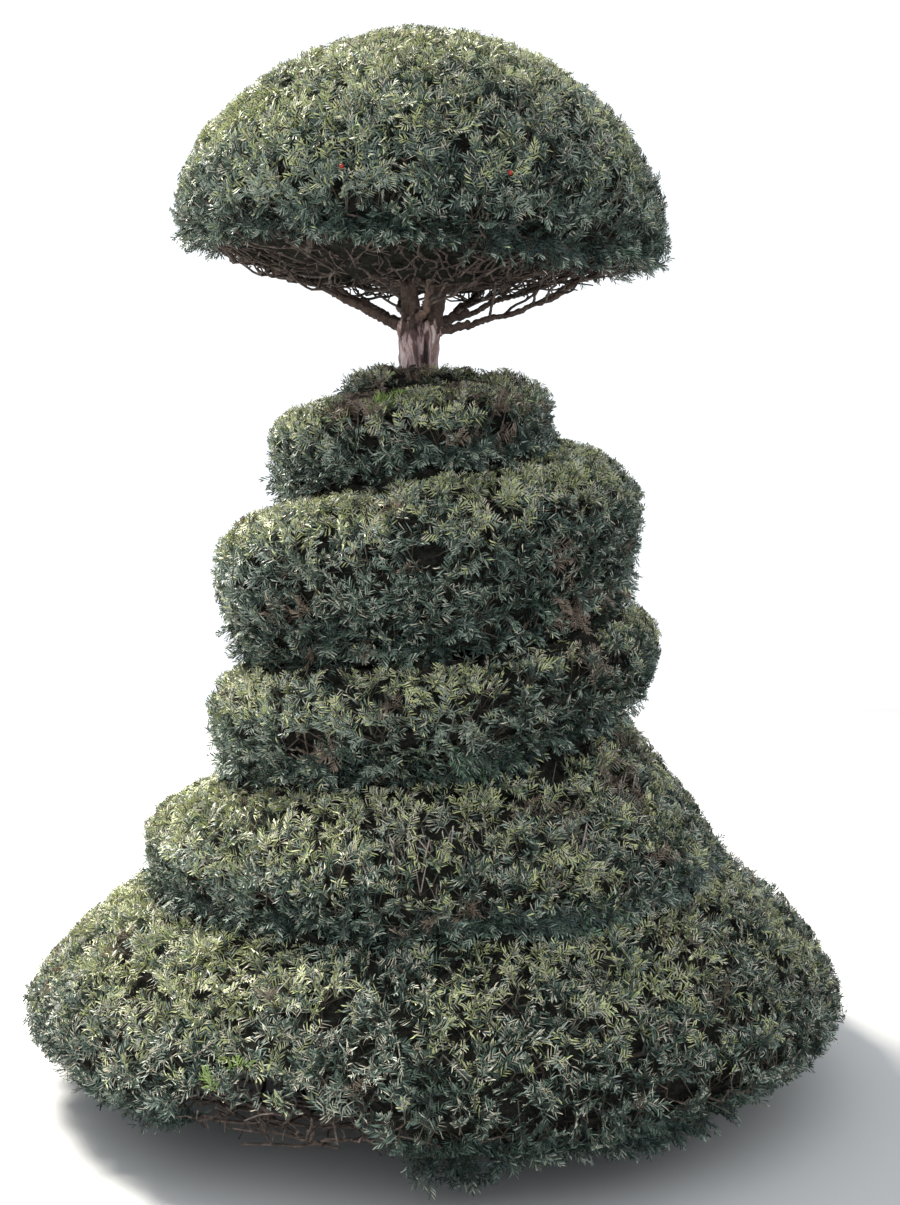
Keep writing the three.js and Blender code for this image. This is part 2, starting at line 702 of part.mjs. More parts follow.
for (let whole = 0; whole <= TURNS; whole++) {
  const label = whole === 0 ? 'skirt' : `tier_${whole}`;
  const end = whole === TURNS ? LAST_TURN : 1;
  const back = { name: `${label}_back`, number: whole, from: whole, to: whole + 0.5, side: 1 };
  const front = { name: `${label}_front`, number: whole, from: whole + 0.5, to: whole + end, side: -1 };
  for (const tier of [back, front]) {
    tier.shift = new THREE.Vector3(0, (tier.side * TIER_GAP) / 2, 0);
    const random = randomFrom(SEED + plant.children.length);
    const material = tier.side < 0 && whole === 0 ? shadedFoliage : foliage;
    plant.add(meshOf(tier.name, tierMass(tier, random), material));
  }
}

plant.add(meshOf('head', headMass(randomFrom(SEED)), foliage));

export default plant;
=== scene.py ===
# Looks of a clipped yew grown as a spiral topiary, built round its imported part.
# Sprays of needles are clipped at the same surface as the part's masses, and twigs link them
# to the trunk and the boughs by the rule of the part's source, carried to finer twigs.
# Metres. +Z is up, +X is the right of the front view and -Y is its front.

import math

import bpy
import numpy as np
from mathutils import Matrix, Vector


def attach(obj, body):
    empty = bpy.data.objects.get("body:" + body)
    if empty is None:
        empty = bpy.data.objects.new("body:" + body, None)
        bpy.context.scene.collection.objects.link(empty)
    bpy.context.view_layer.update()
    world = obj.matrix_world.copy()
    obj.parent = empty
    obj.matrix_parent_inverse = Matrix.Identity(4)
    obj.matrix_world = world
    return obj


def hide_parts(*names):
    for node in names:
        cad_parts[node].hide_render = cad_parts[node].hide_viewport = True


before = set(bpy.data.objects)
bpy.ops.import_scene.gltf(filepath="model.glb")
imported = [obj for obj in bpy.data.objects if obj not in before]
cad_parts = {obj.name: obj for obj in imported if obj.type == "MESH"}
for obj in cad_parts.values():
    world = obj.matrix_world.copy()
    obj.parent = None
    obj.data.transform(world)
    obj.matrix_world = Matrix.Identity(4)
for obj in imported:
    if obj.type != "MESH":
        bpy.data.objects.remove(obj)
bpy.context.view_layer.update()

SEED = 7
BODY = "root"
TAU = 2 * math.pi
UP = np.array([0.0, 0.0, 1.0])

# The clipped surface, as in the part but for a top of the head 11 mm lower: the groove under
# each tier climbs counter-clockwise seen from above, with a station every half turn, first on
# the right and then on the left
STATIONS = {
    "groove_z": [0.395, 0.412, 0.480, 0.619, 0.774, 0.865, 0.996, 1.196, 1.337, 1.425, 1.470],
    "groove_r": [0.665, 0.570, 0.605, 0.425, 0.400, 0.380, 0.405, 0.295, 0.250, 0.170, 0.120],
    "crest_r": [0.675, 0.605, 0.610, 0.470, 0.495, 0.452, 0.449, 0.338, 0.262, 0.180, 0.120],
    "step": [0.3, 0.75, 0.0, 0.8, 1.0, 1.0, 1.0, 1.0, 1.0, 1.0, 1.0],
}
TURNS = 5
LAST_TURN = 5 / 6
TOP_Z = 1.492
TOP_RADIUS = 0.062
CONE_CREST = 0.1
LEDGE_CREST = 0.6
CONE_POWER = 1.05
LEDGE_POWER = 2.0
HEM_Z = 0.088
HEM_RADIUS = 0.735
UNDERSIDE_Z = 0.150
SKIRT_Z = 0.172
SKIRT_LEFT = 0.852
SKIRT_RIGHT = 0.882
SKIRT_POWER = 1.35
HEAD = -1
HEAD_X = -0.012
HEAD_RADIUS = 0.512
HEAD_RIM_Z = 1.762
HEAD_TOP_Z = 2.171
HEAD_POWER = 1.86
HEAD_TILT = 0.028
HEAD_LIP_RADIUS = 0.455
HEAD_LIP_Z = 1.712
HEAD_CEILING_Z = 1.694
FACE_STEPS = 6
LEDGE_STEPS = 9

# Trunk and limbs, as in the part but for the bend of the front bough
TRUNK_LEAN = -0.021
LEAN_POWER = 1.4
TRUNK_FORK_Z = 1.583
TRUNK_Z = [0, 0.022, 0.070, 0.170, 0.700, 1.200, 1.440, 1.510, 1.556, 1.583]
TRUNK_RADIUS = [0.082, 0.072, 0.061, 0.055, 0.047, 0.040, 0.037, 0.038, 0.040, 0.038]
TRUNK_OVAL = [1, 1, 1, 1, 1, 1, 1, 1.03, 1.12, 1.14]
TRUNK_CLEFT = [0, 0, 0, 0, 0, 0.04, 0.08, 0.16, 0.30, 0.42]
BUTTRESSES = 5
BUTTRESS_DEPTH = 0.13
BUTTRESS_TOP = 0.26
CLEFT_AZIMUTH = math.radians(278)
CLEFT_WIDTH = math.radians(26)
# Each limb has its foot, its tip, its sag and sway, and its radius at either end. A foot or
# a tip is its azimuth in degrees, its radius and its height.
LIMBS = {
    "stem_left": ((190, 0.019, 1.562), (200, 0.038, 1.726), (0, 0.003), (0.019, 0.015)),
    "stem_right": ((8, 0.024, 1.562), (14, 0.046, 1.722), (0, -0.003), (0.019, 0.014)),
    "bough_left": ((184, 0.022, 1.566), (181, 0.440, 1.740), (-0.007, 0.012), (0.010, 0.0045)),
    "bough_front": ((200, 0.028, 1.566), (284, 0.200, 1.722), (0.004, 0.020), (0.0095, 0.006)),
    "bough_front_left": ((212, 0.020, 1.652), (240, 0.400, 1.738), (0, -0.008), (0.007, 0.004)),
    "bough_front_right": ((2, 0.046, 1.650), (312, 0.405, 1.732), (0.020, 0.014), (0.007, 0.004)),
    "bough_right_low": ((352, 0.022, 1.556), (1, 0.452, 1.736), (0.024, -0.010), (0.007, 0.004)),
    "bough_right_high": ((20, 0.040, 1.580), (20, 0.420, 1.732), (0.008, 0.014), (0.0075, 0.0045)),
    "bough_back_right": ((60, 0.022, 1.564), (62, 0.430, 1.738), (0.012, -0.016), (0.009, 0.0045)),
    "bough_back": ((110, 0.022, 1.566), (102, 0.425, 1.740), (0.006, 0.014), (0.0085, 0.0045)),
    "bough_back_left": ((150, 0.024, 1.568), (141, 0.430, 1.740), (0.002, -0.012), (0.0085, 0.0045)),
}
STEMS = ("stem_left", "stem_right")

# Radii of the thin limbs that the twigs of a mass also grow from
THIN_LIMBS = {"head": (0.0034, 0.0015), "skirt_front": (0.006, 0.0025)}
LIMB_RINGS = 60
BOUGH_RINGS = 90
BOUGH_SIDES = 12
THIN_RINGS = 16
THIN_SIDES = 5

# The fork is a fused skin, which reaches down into the rings of the lower trunk. Above the
# fork and away from the trunk's middle the pinkish bark turns to the dark bough bark: painted
# shade under the head, and the limbs' own darker bark.
FUSE_LOW_Z = 1.37
FUSE_FOOT_RINGS = 12
FUSE_VOXEL = 0.0022
FUSE_ROUNDS = 7
FOOT_FLARE = 0.35
FLARE_Z = 0.3
LOWER_TOP_Z = 1.39
SHADED_BARK_Z = 1.580
SHADED_BARK_RADIUS = 0.047
SHADED_BARK_RAGGED = 0.010

# How closely sprays stand on the clipped surface, and on the flat tops where it has none
SITE_SPACING = 0.0253
HEAD_SPACING = 0.945
SITE_JITTER = 0.6
CROWN_Z = 1.43
CROWN_SITES = 34
CROWN_INNER = 0.05
APEX_RADIUS = 0.1
APEX_ROUND = 0.5

# Kinds of sprays, with their needles and shoots
SPRAY_KINDS = 20
LONG_KINDS = 10
SPRAY_LENGTH = 0.085
SPRAY_DROOP = 0.004
SIDE_PLACES = (0.36, 0.72)
SIDE_ANGLES = (0.6, 0.95)
SIDE_LENGTHS = (0.34, 0.5)
NEEDLE_LENGTH = 0.0200
NEEDLE_WIDTH = 0.0022
PALE_WIDTH = 0.6
NEEDLE_STEP = 0.0029
NEEDLE_SLANT = 0.24
NEEDLE_BEND = 0.14
NEEDLE_LEANS = (1.1, 0.45)
NEEDLE_ROLL = (0.22, 0.3)
NEEDLE_TWIST = 0.26
NEEDLE_SIZES = (0.8, 1.15)
NEEDLE_TAPER = 0.35
SHOOT_RADIUS = 0.0012
MAIN_WIDTHS = (1.3, 0.6)
SIDE_WIDTHS = (0.9, 0.5)

# How a clipped spray points: shares of the normal, of the way up and out, and of a sway
NORMAL_SHARES = (0.25, 0.8)
RISE_SHARES = (-0.1, 0.9)
SWAY_SHARES = (0.15, 0.65)
SPRAY_SCALES = (0.85, 1.15)
SPRAY_ROLL = 0.4
TIP_HEIGHTS = (-0.012, 0.014)
CROWDED_DEPTH = 0.02

# Where the shears went, and what grows past them
CUT_STRAY = 0.0035
RELIEF = 0.005
OVERHANG = 0.012
OVERGROWTH = 0.02
DEEPEST = 0.038
ROOT_DEPTH = 0.012
LEAST_Z = 0.012
LEAST_NEEDLE = 0.2
LEAST_SHOOT = 0.15
HANG_SPACING = 0.014
HANG_CUT = 0.03
HANG_DROP = 0.028
HANG_EXTRA = 16
HANG_SCALES = (0.75, 1.15)

# The growth rule, as in the part, with shorter links and finer twigs
STEM_RADIUS = 0.009
TWIG_RADIUS = 0.0014
TWIG_LINK = 0.085
TWIG_WANDER = 0.07
PATH_SHARE = 0.3
STOUT_LOAD = 6
# Dead twigs also reach some of the places of sprays
BARE_SHARE = 0.05

# Bare wood under the front of the skirt, with its azimuths in degrees
LOW_LIMBS = 26
LOW_LIMB_AZIMUTHS = (232, 274)
LOW_TIPS = 60
LOW_TIP_AZIMUTHS = (230, 278)

# Dark cores deep under the clipped surface: painted shade, in the brown of dead needles. The head's
# stays over its bare wood.
CORE_DEPTH = 0.058
CORE_STEPS = 33
CORE_INNER = 0.05
CORE_LUMPS = 0.009
CORE_RISE = 0.016
CORE_OPEN = 4.0
# Heights of the lower side of the head's bare wood, at some radii
WEAVE_RADIUS = [0.04, 0.14, 0.22, 0.30, 0.37, 0.50]
WEAVE_Z = [1.664, 1.656, 1.644, 1.664, 1.690, 1.745]
WEAVE_TIPS = 1700
WEAVE_REACH = 0.47

ARILS = [(-0.149, -0.478, 1.838), (0.155, -0.458, 1.829)]
ARIL_RADIUS = 0.0047

# The photo's focal length and height in pixels, and the place from which it was taken
FOCAL_PIXELS = 1810
PHOTO_PIXELS = 1205
SENSOR = 36
CAMERA_AT = (0.046, -3.8, 1.42)
CAMERA_DIP_DEGREES = 6.38


def unit(vectors):
    return vectors / np.maximum(np.linalg.norm(vectors, axis=-1, keepdims=True), 1e-9)


def mix(start, end, share):
    return start + (end - start) * share


def smooth(low, high, value):
    share = np.clip((value - low) / (high - low), 0, 1)
    return share * share * (3 - 2 * share)


def polar(angle, radius, z):
    return np.stack(np.broadcast_arrays(radius * np.cos(angle), radius * np.sin(angle), z), -1)


def rng_for(name):
    return np.random.default_rng([SEED, *name.encode()])


def column(rng, span, count):
    """Random values within a span, as a column."""
    return rng.uniform(*span, (count, 1))


def waves(points, size, seed, count=14):
    """Smooth noise of about unit spread, whose lumps measure about one size."""
    rng = np.random.default_rng([SEED, seed])
    directions = unit(rng.normal(size=(count, 3)))
    rates = TAU / size * rng.uniform(0.6, 1.6, (count, 1))
    phases = rng.uniform(0, TAU, count)
    return np.cos(points @ (directions * rates).T + phases).sum(-1) * math.sqrt(2 / count)


def wander(points, size, seed):
    """Smooth noise in three directions."""
    return np.stack([waves(points, size, seed + k) for k in range(3)], -1)


# The clipped surface

def station(size, turn):
    """A named size at turns of the spiral, on a smooth curve through the stations."""
    values = np.array(STATIONS[size])
    count = len(values)
    place = np.clip((turn - 1) * 2, 0, count - 1 - 1e-9)
    i = np.floor(place).astype(int)
    share = place - i
    padded = values[np.clip(np.arange(-1, count + 2), 0, count - 1)]
    before, start, end, after = (padded[i + k] for k in range(4))
    squared = share * share
    cubed = squared * share
    return (
        (2 * cubed - 3 * squared + 1) * start
        + (cubed - 2 * squared + share) * (end - before) / 2
        + (3 * squared - 2 * cubed) * end
        + (cubed - squared) * (after - start) / 2
    )


def floor_of(number, turn):
    """Radius and height of a mass's lower edge at some turns."""
    if number == 0:
        return np.full_like(turn, HEM_RADIUS), np.full_like(turn, HEM_Z)
    return station("groove_r", turn), station("groove_z", turn)


def roof_of(number, turn):
    """Radius and height of the groove over a mass, or of the plant's top."""
    if number == TURNS:
        return np.full_like(turn, TOP_RADIUS), np.full_like(turn, TOP_Z)
    return station("groove_r", turn + 1), station("groove_z", turn + 1)


def ledge(crest, groove, power):
    """A quarter of a superellipse from the crest up and in to the groove above."""
    angle = math.pi / 2 * np.arange(LEDGE_STEPS + 1) / LEDGE_STEPS
    out = np.maximum(np.cos(angle), 0) ** (2 / power)
    up = np.sin(angle) ** (2 / power)
    return mix(groove[0], crest[0], out), mix(crest[1], groove[1], up)


def face(edge, crest):
    """A face that swells from the edge below it to the crest."""
    share = np.arange(FACE_STEPS) / FACE_STEPS
    return mix(edge[0], crest[0], np.sin(math.pi / 2 * share)), mix(edge[1], crest[1], share)


def profile(number, turn):
    """Outlines of a mass at some turns, from its lower edge up, as radii and heights."""
    turn = np.asarray(turn, float)[:, None]
    if number == HEAD:
        lip = np.full_like(turn, HEAD_LIP_RADIUS), np.full_like(turn, HEAD_LIP_Z)
        rim = np.full_like(turn, HEAD_RADIUS), np.full_like(turn, HEAD_RIM_Z)
        parts = face(lip, rim), ledge(rim, (0.0, HEAD_TOP_Z), HEAD_POWER)
        return tuple(np.concatenate(rows, axis=1) for rows in zip(*parts))
    below = floor_of(number, turn)
    above = roof_of(number, turn)
    if number == 0:
        lean = (SKIRT_RIGHT - SKIRT_LEFT) / 2
        crest = SKIRT_LEFT + lean + lean * np.cos(TAU * turn), np.full_like(turn, SKIRT_Z)
        power = SKIRT_POWER
    else:
        step = np.clip(station("step", turn), 0, 1)
        crest_z = mix(below[1], above[1], mix(CONE_CREST, LEDGE_CREST, step))
        crest = station("crest_r", turn), crest_z
        power = mix(CONE_POWER, LEDGE_POWER, step)
    parts = face(below, crest), ledge(crest, above, power)
    return tuple(np.concatenate(rows, axis=1) for rows in zip(*parts))


def tilted(points, way=1):
    """The head's rim is higher on the left than on the right. Way -1 takes that back."""
    low = np.clip((HEAD_TOP_Z - points[:, 2]) / (HEAD_TOP_Z - HEAD_RIM_Z), 0, 1)
    x = points[:, 0] - (0 if way > 0 else HEAD_X)
    moved = points.copy()
    moved[:, 0] += way * HEAD_X
    moved[:, 2] -= way * HEAD_TILT * (x / HEAD_RADIUS) * low
    return moved


def place_of(mass, points):
    """Radius, turn and height of points, as the outlines of a mass measure them."""
    if mass["number"] == HEAD:
        points = tilted(points, -1)
    around = np.arctan2(points[:, 1], points[:, 0]) / TAU
    middle = (mass["start"] + mass["end"]) / 2
    turn = around + np.round(middle - around)
    return np.hypot(points[:, 0], points[:, 1]), turn, points[:, 2]


def height_over(mass, points):
    """How far points stand out of the clipped surface of a mass: inside it is negative."""
    r, turn, z = place_of(mass, points)
    line_r, line_z = profile(mass["number"], turn)
    best = np.full(len(r), np.inf)
    for i in range(line_r.shape[1] - 1):
        along_r = line_r[:, i + 1] - line_r[:, i]
        along_z = line_z[:, i + 1] - line_z[:, i]
        from_r = r - line_r[:, i]
        from_z = z - line_z[:, i]
        squared = along_r**2 + along_z**2 + 1e-12
        share = np.clip((from_r * along_r + from_z * along_z) / squared, 0, 1)
        gap = np.hypot(from_r - share * along_r, from_z - share * along_z)
        outside = along_r * from_z - along_z * from_r < 0
        best = np.where(gap < np.abs(best), np.where(outside, gap, -gap), best)
    return best


def on_surface(number, turn, place):
    """Points of a mass's surface and the outward normal there."""
    r, z = profile(number, turn)
    i = np.minimum(place.astype(int), r.shape[1] - 2)
    rows = np.arange(len(turn))
    share = place - i
    along_r = r[rows, i + 1] - r[rows, i]
    along_z = z[rows, i + 1] - z[rows, i]
    length = np.hypot(along_r, along_z) + 1e-9
    angle = TAU * turn
    at = polar(angle, r[rows, i] + share * along_r, z[rows, i] + share * along_z)
    if number == HEAD:
        at = tilted(at)
    return at, polar(angle, along_z / length, -along_r / length)


def sites_on(mass, spacing, rng):
    """Turns and places along the outline, spread evenly over the surface of a mass."""
    number, start, end = mass["number"], mass["start"], mass["end"]
    widest = profile(number, np.linspace(start, end, 9))[0].max()
    sectors = math.ceil((end - start) * TAU * widest / spacing)
    width = (end - start) / sectors
    middles = start + width * (np.arange(sectors) + 0.5)
    turns, places = [], []
    for middle in middles:
        r, z = (line[0] for line in profile(number, [middle]))
        bands = np.hypot(np.diff(r), np.diff(z)) * (r[1:] + r[:-1]) * math.pi * width
        total = np.concatenate([[0], np.cumsum(bands)])
        count = int(total[-1] / spacing**2 + rng.random())
        shares = (np.arange(count) + 0.5 + SITE_JITTER * (rng.random(count) - 0.5)) / max(count, 1)
        places.append(np.interp(shares * total[-1], total, np.arange(len(total))))
        turns.append(middle + width * SITE_JITTER * (rng.random(count) - 0.5))
    return np.concatenate(turns), np.concatenate(places)


def crown_sites(mass, rng):
    """Places on the flat top between the trunk and the end of the highest groove, and at the
    very top of the head."""
    if mass["number"] == HEAD:
        turn, reach = rng.random(CROWN_SITES), APEX_RADIUS * np.sqrt(rng.random(CROWN_SITES))
        drop = (HEAD_TOP_Z - HEAD_RIM_Z) * APEX_ROUND * (reach / HEAD_RADIUS) ** 2
        return tilted(polar(TAU * turn, reach, HEAD_TOP_Z - drop))
    start = max(mass["start"], TURNS - 1 + LAST_TURN)
    if mass["number"] != TURNS - 1 or start >= mass["end"]:
        return np.zeros((0, 3))
    turn = rng.uniform(start - 0.02, mass["end"] + 0.05, CROWN_SITES)
    edge, z = (line[:, -1] for line in profile(mass["number"], turn))
    return polar(TAU * turn, mix(CROWN_INNER, edge, rng.random(CROWN_SITES)), z)


# Sprays of needles, as kinds to be placed many times. In a kind's own frame its main shoot
# runs along X, it lies flat in XY, and its upper side faces Z.

def shoot_needles(start, direction, length, first, droop, rng):
    """Needles in two ranks along a shoot: base, direction, across and length of each. Towards
    the shoot's tip they lean forward and get shorter."""
    count = max(6, int(length * (1 - first) / NEEDLE_STEP))
    along = first + (1 - first) * (np.arange(count) + rng.uniform(0.2, 1, count)) / count
    lateral = np.cross(UP, direction)
    sign = np.where(np.arange(count) % 2 == 0, 1.0, -1.0)[:, None]
    roll = rng.normal(*NEEDLE_ROLL, count)[:, None]
    outward = lateral * sign * np.cos(roll) + UP * np.sin(roll)
    lean = (mix(*NEEDLE_LEANS, along**2) + rng.normal(0, 0.1, count))[:, None]
    way = unit(direction * np.cos(lean) + outward * np.sin(lean))
    upper = unit(UP + rng.normal(0, NEEDLE_TWIST, (count, 3)))
    sizes = NEEDLE_LENGTH * rng.uniform(*NEEDLE_SIZES, count) * (1 - NEEDLE_TAPER * along**3)
    base = start + direction * (along * length)[:, None] + UP * (droop * along**2)[:, None]
    return base, way, unit(np.cross(way, upper)), sizes


def spray_kind(index, long):
    """One kind of spray: its needles, and its shoots with the widths of their ends. Long ones
    have needles from near their root."""
    rng = rng_for(f"spray {index} {long}")
    main = np.array([1.0, 0.0, 0.0])
    droop = rng.normal(-SPRAY_DROOP if long else SPRAY_DROOP / 2, SPRAY_DROOP)
    first = 0.2 if long else 0.42
    needles = [shoot_needles(np.zeros(3), main, SPRAY_LENGTH, first, droop, rng)]
    shoots = [(np.zeros(3), np.array([SPRAY_LENGTH, 0, droop]), MAIN_WIDTHS)]
    count = rng.integers(1, 3) if long else 2
    for i in range(count):
        share = mix(*SIDE_PLACES, (i + rng.uniform(0.2, 0.8)) / count)
        side = 1 if i % 2 == index % 2 else -1
        angle = rng.uniform(*SIDE_ANGLES) * side
        way = unit(np.array([math.cos(angle), math.sin(angle), rng.normal(0, 0.25)]))
        start = np.array([SPRAY_LENGTH * share, 0, droop * share**2])
        length = SPRAY_LENGTH * rng.uniform(*SIDE_LENGTHS)
        needles.append(shoot_needles(start, way, length, 0.12, 0.0, rng))
        shoots.append((start, start + way * length, SIDE_WIDTHS))
    return [np.concatenate(rows) for rows in zip(*needles)], shoots


def in_frames(vectors, axes):
    """Vectors of a kind's own frame, in the frame of each spray of that kind."""
    return np.einsum("nj,kji->kni", vectors, axes)


def placed(kinds, sprays):
    """Every needle and shoot of placed sprays. The last row says which spray each is on."""
    needles, shoots = [], []
    for index, (kind, segments) in enumerate(kinds):
        rows = np.nonzero(sprays["kind"] == index)[0]
        if len(rows) == 0:
            continue
        axes, root, scale = (sprays[key][rows] for key in ("axes", "root", "scale"))
        base, way, across, sizes = kind
        at = in_frames(base, axes) * scale[:, None, None] + root[:, None]
        needles.append((
            at.reshape(-1, 3),
            in_frames(way, axes).reshape(-1, 3),
            in_frames(across, axes).reshape(-1, 3),
            np.repeat(scale, len(base)) * np.tile(sizes, len(rows)),
            np.repeat(rows, len(base)),
        ))
        for start, end, widths in segments:
            ends = in_frames(np.stack([start, end]), axes) * scale[:, None, None] + root[:, None]
            wide, narrow = (np.full(len(rows), SHOOT_RADIUS * width) for width in widths)
            shoots.append((ends[:, 0], ends[:, 1], wide, narrow, rows))
    return (
        [np.concatenate(rows) for rows in zip(*needles)],
        [np.concatenate(rows) for rows in zip(*shoots)],
    )


def axes_for(direction, facing, roll):
    """Frames for sprays that point one way and whose upper side faces another, then roll."""
    across = unit(np.cross(facing, direction))
    upper = np.cross(direction, across)
    turned = across * np.cos(roll)[:, None] + upper * np.sin(roll)[:, None]
    return np.stack([direction, turned, np.cross(direction, turned)], axis=1)


def sprays_at(at, normal, tip, direction, facing, scale, kinds, rng):
    """Sprays that end at their tips, point one way and have their upper side face another."""
    first, number = kinds
    return {
        "at": at,
        "normal": normal,
        "root": tip - direction * (scale * SPRAY_LENGTH)[:, None],
        "axes": axes_for(direction, facing, rng.normal(0, SPRAY_ROLL, len(at))),
        "scale": scale,
        "kind": first + rng.integers(0, number, len(at)),
    }


def clipped_sprays(mass, rng):
    """Sprays that grow out through the clipped surface of a mass, and are cut off there."""
    spacing = SITE_SPACING * (HEAD_SPACING if mass["number"] == HEAD else 1)
    at, normal = on_surface(mass["number"], *sites_on(mass, spacing, rng))
    crown = crown_sites(mass, rng)
    at = np.concatenate([at, crown])
    normal = np.concatenate([normal, crown * 0 + UP])
    count = len(at)
    lean = unit(unit(at * [1, 1, 0]) * 0.45 + UP * 0.9)
    lean = lean - 0.75 * normal * (lean * normal).sum(-1, keepdims=True)
    sway = np.cross(normal, rng.normal(size=(count, 3)))
    direction = unit(
        normal * column(rng, NORMAL_SHARES, count)
        + lean * column(rng, RISE_SHARES, count)
        + sway * column(rng, SWAY_SHARES, count)
    )
    scale = rng.uniform(*SPRAY_SCALES, count)
    tip = at + normal * column(rng, TIP_HEIGHTS, count)
    root = tip - direction * (scale * SPRAY_LENGTH)[:, None]
    scale = np.where(height_over(mass, root) > -CROWDED_DEPTH, scale * 0.5, scale)
    sprays = sprays_at(at, normal, tip, direction, normal, scale, (0, SPRAY_KINDS), rng)
    sprays["cut"] = rng.normal(0, CUT_STRAY, count)
    sprays["drop"] = np.full(count, OVERHANG)
    return sprays


# Where the photo shows an edge that stays higher, or sprays that hang low: mass, azimuth and
# half width in degrees, and how far up or down
LIFTS = [(0, 251, 15, 0.125)]
HANGS = [
    (HEAD, 297, 24, 0.060), (HEAD, 262, 8, 0.035), (2, 283, 13, 0.065),
    (0, 274, 7, 0.065), (0, 306, 12, 0.050), (1, 300, 10, 0.040), (4, 285, 8, 0.035),
]


def edge_shift(number, turn, places):
    """How far the lower edge of a mass moves at some turns, by the nearest named place."""
    shift = np.zeros(np.shape(turn))
    for place, azimuth, width, most in places:
        if place == number:
            gap = np.abs((turn * 360 - azimuth + 180) % 360 - 180)
            shift = np.maximum(shift, most * (1 - smooth(0.6 * width, 1.4 * width, gap)))
    return shift


def hanging_sprays(mass, rng):
    """Long sprays that hang from the lower edge of a mass, where the shears don't reach."""
    number, start, end = mass["number"], mass["start"], mass["end"]
    edge = profile(number, np.linspace(start, end, 9))[0][:, 0].mean()
    count = int((end - start) * TAU * edge / HANG_SPACING)
    turns = [start + (end - start) * (np.arange(count) + rng.random(count)) / count]
    for other, azimuth, width, _ in HANGS:
        if other == number:
            turns.append(max(number, 0) + (azimuth + width * rng.uniform(-1, 1, HANG_EXTRA)) / 360)
    turn = np.concatenate(turns)
    turn = turn[(turn >= start) & (turn < end)]
    count = len(turn)
    at, normal = on_surface(number, turn, rng.uniform(0, 2.5, count))
    outward = polar(TAU * turn, 1, 0)
    sideways = np.cross(outward, UP)
    direction = unit(
        outward * column(rng, (0.4, 1.0), count)
        + sideways * rng.normal(0, 0.4, (count, 1))
        - UP * column(rng, (0.1, 0.9), count)
    )
    scale = rng.uniform(*HANG_SCALES, count)
    low = np.maximum(HANG_DROP, edge_shift(number, turn, HANGS))
    tip = at + direction * column(rng, (0.005, 0.035), count)
    tip[:, 2] -= (low - HANG_DROP) * rng.uniform(0.2, 1, count)
    kinds = SPRAY_KINDS, LONG_KINDS
    sprays = sprays_at(at, normal, tip, direction, outward + UP * 0.6, scale, kinds, rng)
    sprays["cut"] = HANG_CUT + (low - HANG_DROP)
    sprays["drop"] = low * rng.uniform(0.5, 1.1, count)
    return sprays


# Places where the photo shows a hole, as azimuth in degrees, height, radius and depth
HOLES = [
    (305, 0.705, 0.032, 0.05), (321, 0.735, 0.028, 0.05), (265, 0.580, 0.018, 0.04),
    (283, 0.355, 0.020, 0.05), (276, 0.325, 0.016, 0.05), (267, 0.325, 0.015, 0.05),
    (316, 0.359, 0.020, 0.05), (309, 0.175, 0.045, 0.06), (281, 1.760, 0.020, 0.05),
    (306, 0.957, 0.018, 0.04), (286, 0.990, 0.020, 0.04), (262, 0.985, 0.018, 0.04),
    (274, 1.345, 0.026, 0.04), (246, 0.616, 0.018, 0.05),
]
# Places where the photo shows dead brown twigs and needles: the last value is their share
DEAD = [
    (237, 1.450, 0.070, 0.9), (300, 1.400, 0.090, 0.45), (326, 0.668, 0.060, 0.8),
    (240, 0.764, 0.045, 0.8), (316, 0.330, 0.040, 0.6), (310, 1.013, 0.040, 0.7),
    (318, 0.948, 0.050, 0.4), (232, 1.030, 0.090, 0.18), (238, 0.900, 0.060, 0.12),
    (300, 0.640, 0.060, 0.15), (315, 0.450, 0.060, 0.25),
]
# Places where the photo shows foliage lighter or darker than round them, and by how much. They move the
# sprays there along the tints from shade to sunlit: painted light and shade.
LIGHTER = [
    (276, 0.800, 0.130, 0.80), (300, 0.800, 0.090, 0.4), (248, 0.820, 0.080, 0.3),
    (285, 1.230, 0.060, 0.35), (250, 1.370, 0.050, 0.2), (318, 1.260, 0.080, 0.5),
    (262, 1.360, 0.060, 0.20), (300, 0.400, 0.120, 0.20),
]
DARKER = [
    (229, 1.060, 0.110, 0.5), (240, 0.960, 0.060, 0.4), (262, 0.300, 0.200, 0.5),
    (285, 0.250, 0.180, 0.5), (245, 0.180, 0.140, 0.4), (225, 0.690, 0.060, 0.3),
    (300, 0.180, 0.120, 0.4), (225, 0.620, 0.070, 0.3), (280, 0.500, 0.070, 0.25),
]
# Places where the photo shows bare upright twigs in a shallow gap, with the gap's depth
COMBS = [
    (264, 0.610, 0.026, 0.02), (270, 0.616, 0.034, 0.02), (279, 0.622, 0.030, 0.022),
    (304, 0.600, 0.032, 0.012), (294, 0.566, 0.020, 0.012), (326, 0.655, 0.036, 0.012),
]
# Places where the photo shows a yellow-green sprig
SPRIGS = [
    (248, 1.440, 0.022, 1), (303, 0.975, 0.018, 1), (241, 0.261, 0.020, 1), (246, 0.272, 0.016, 1),
]


def near(number, points, places):
    """For each point, how strongly the nearest of some named places acts on it."""
    strength = np.zeros(len(points))
    for azimuth, z, radius, most in places:
        if (z > HEAD_CEILING_Z) != (number == HEAD):
            continue
        angle = math.radians(azimuth)
        out = points[:, 0] * math.cos(angle) + points[:, 1] * math.sin(angle)
        side = points[:, 1] * math.cos(angle) - points[:, 0] * math.sin(angle)
        gap = np.hypot(side, points[:, 2] - z)
        gap = np.where(out > 0, gap, np.inf)
        strength = np.maximum(strength, most * (1 - smooth(0.5 * radius, 1.2 * radius, gap)))
    return strength


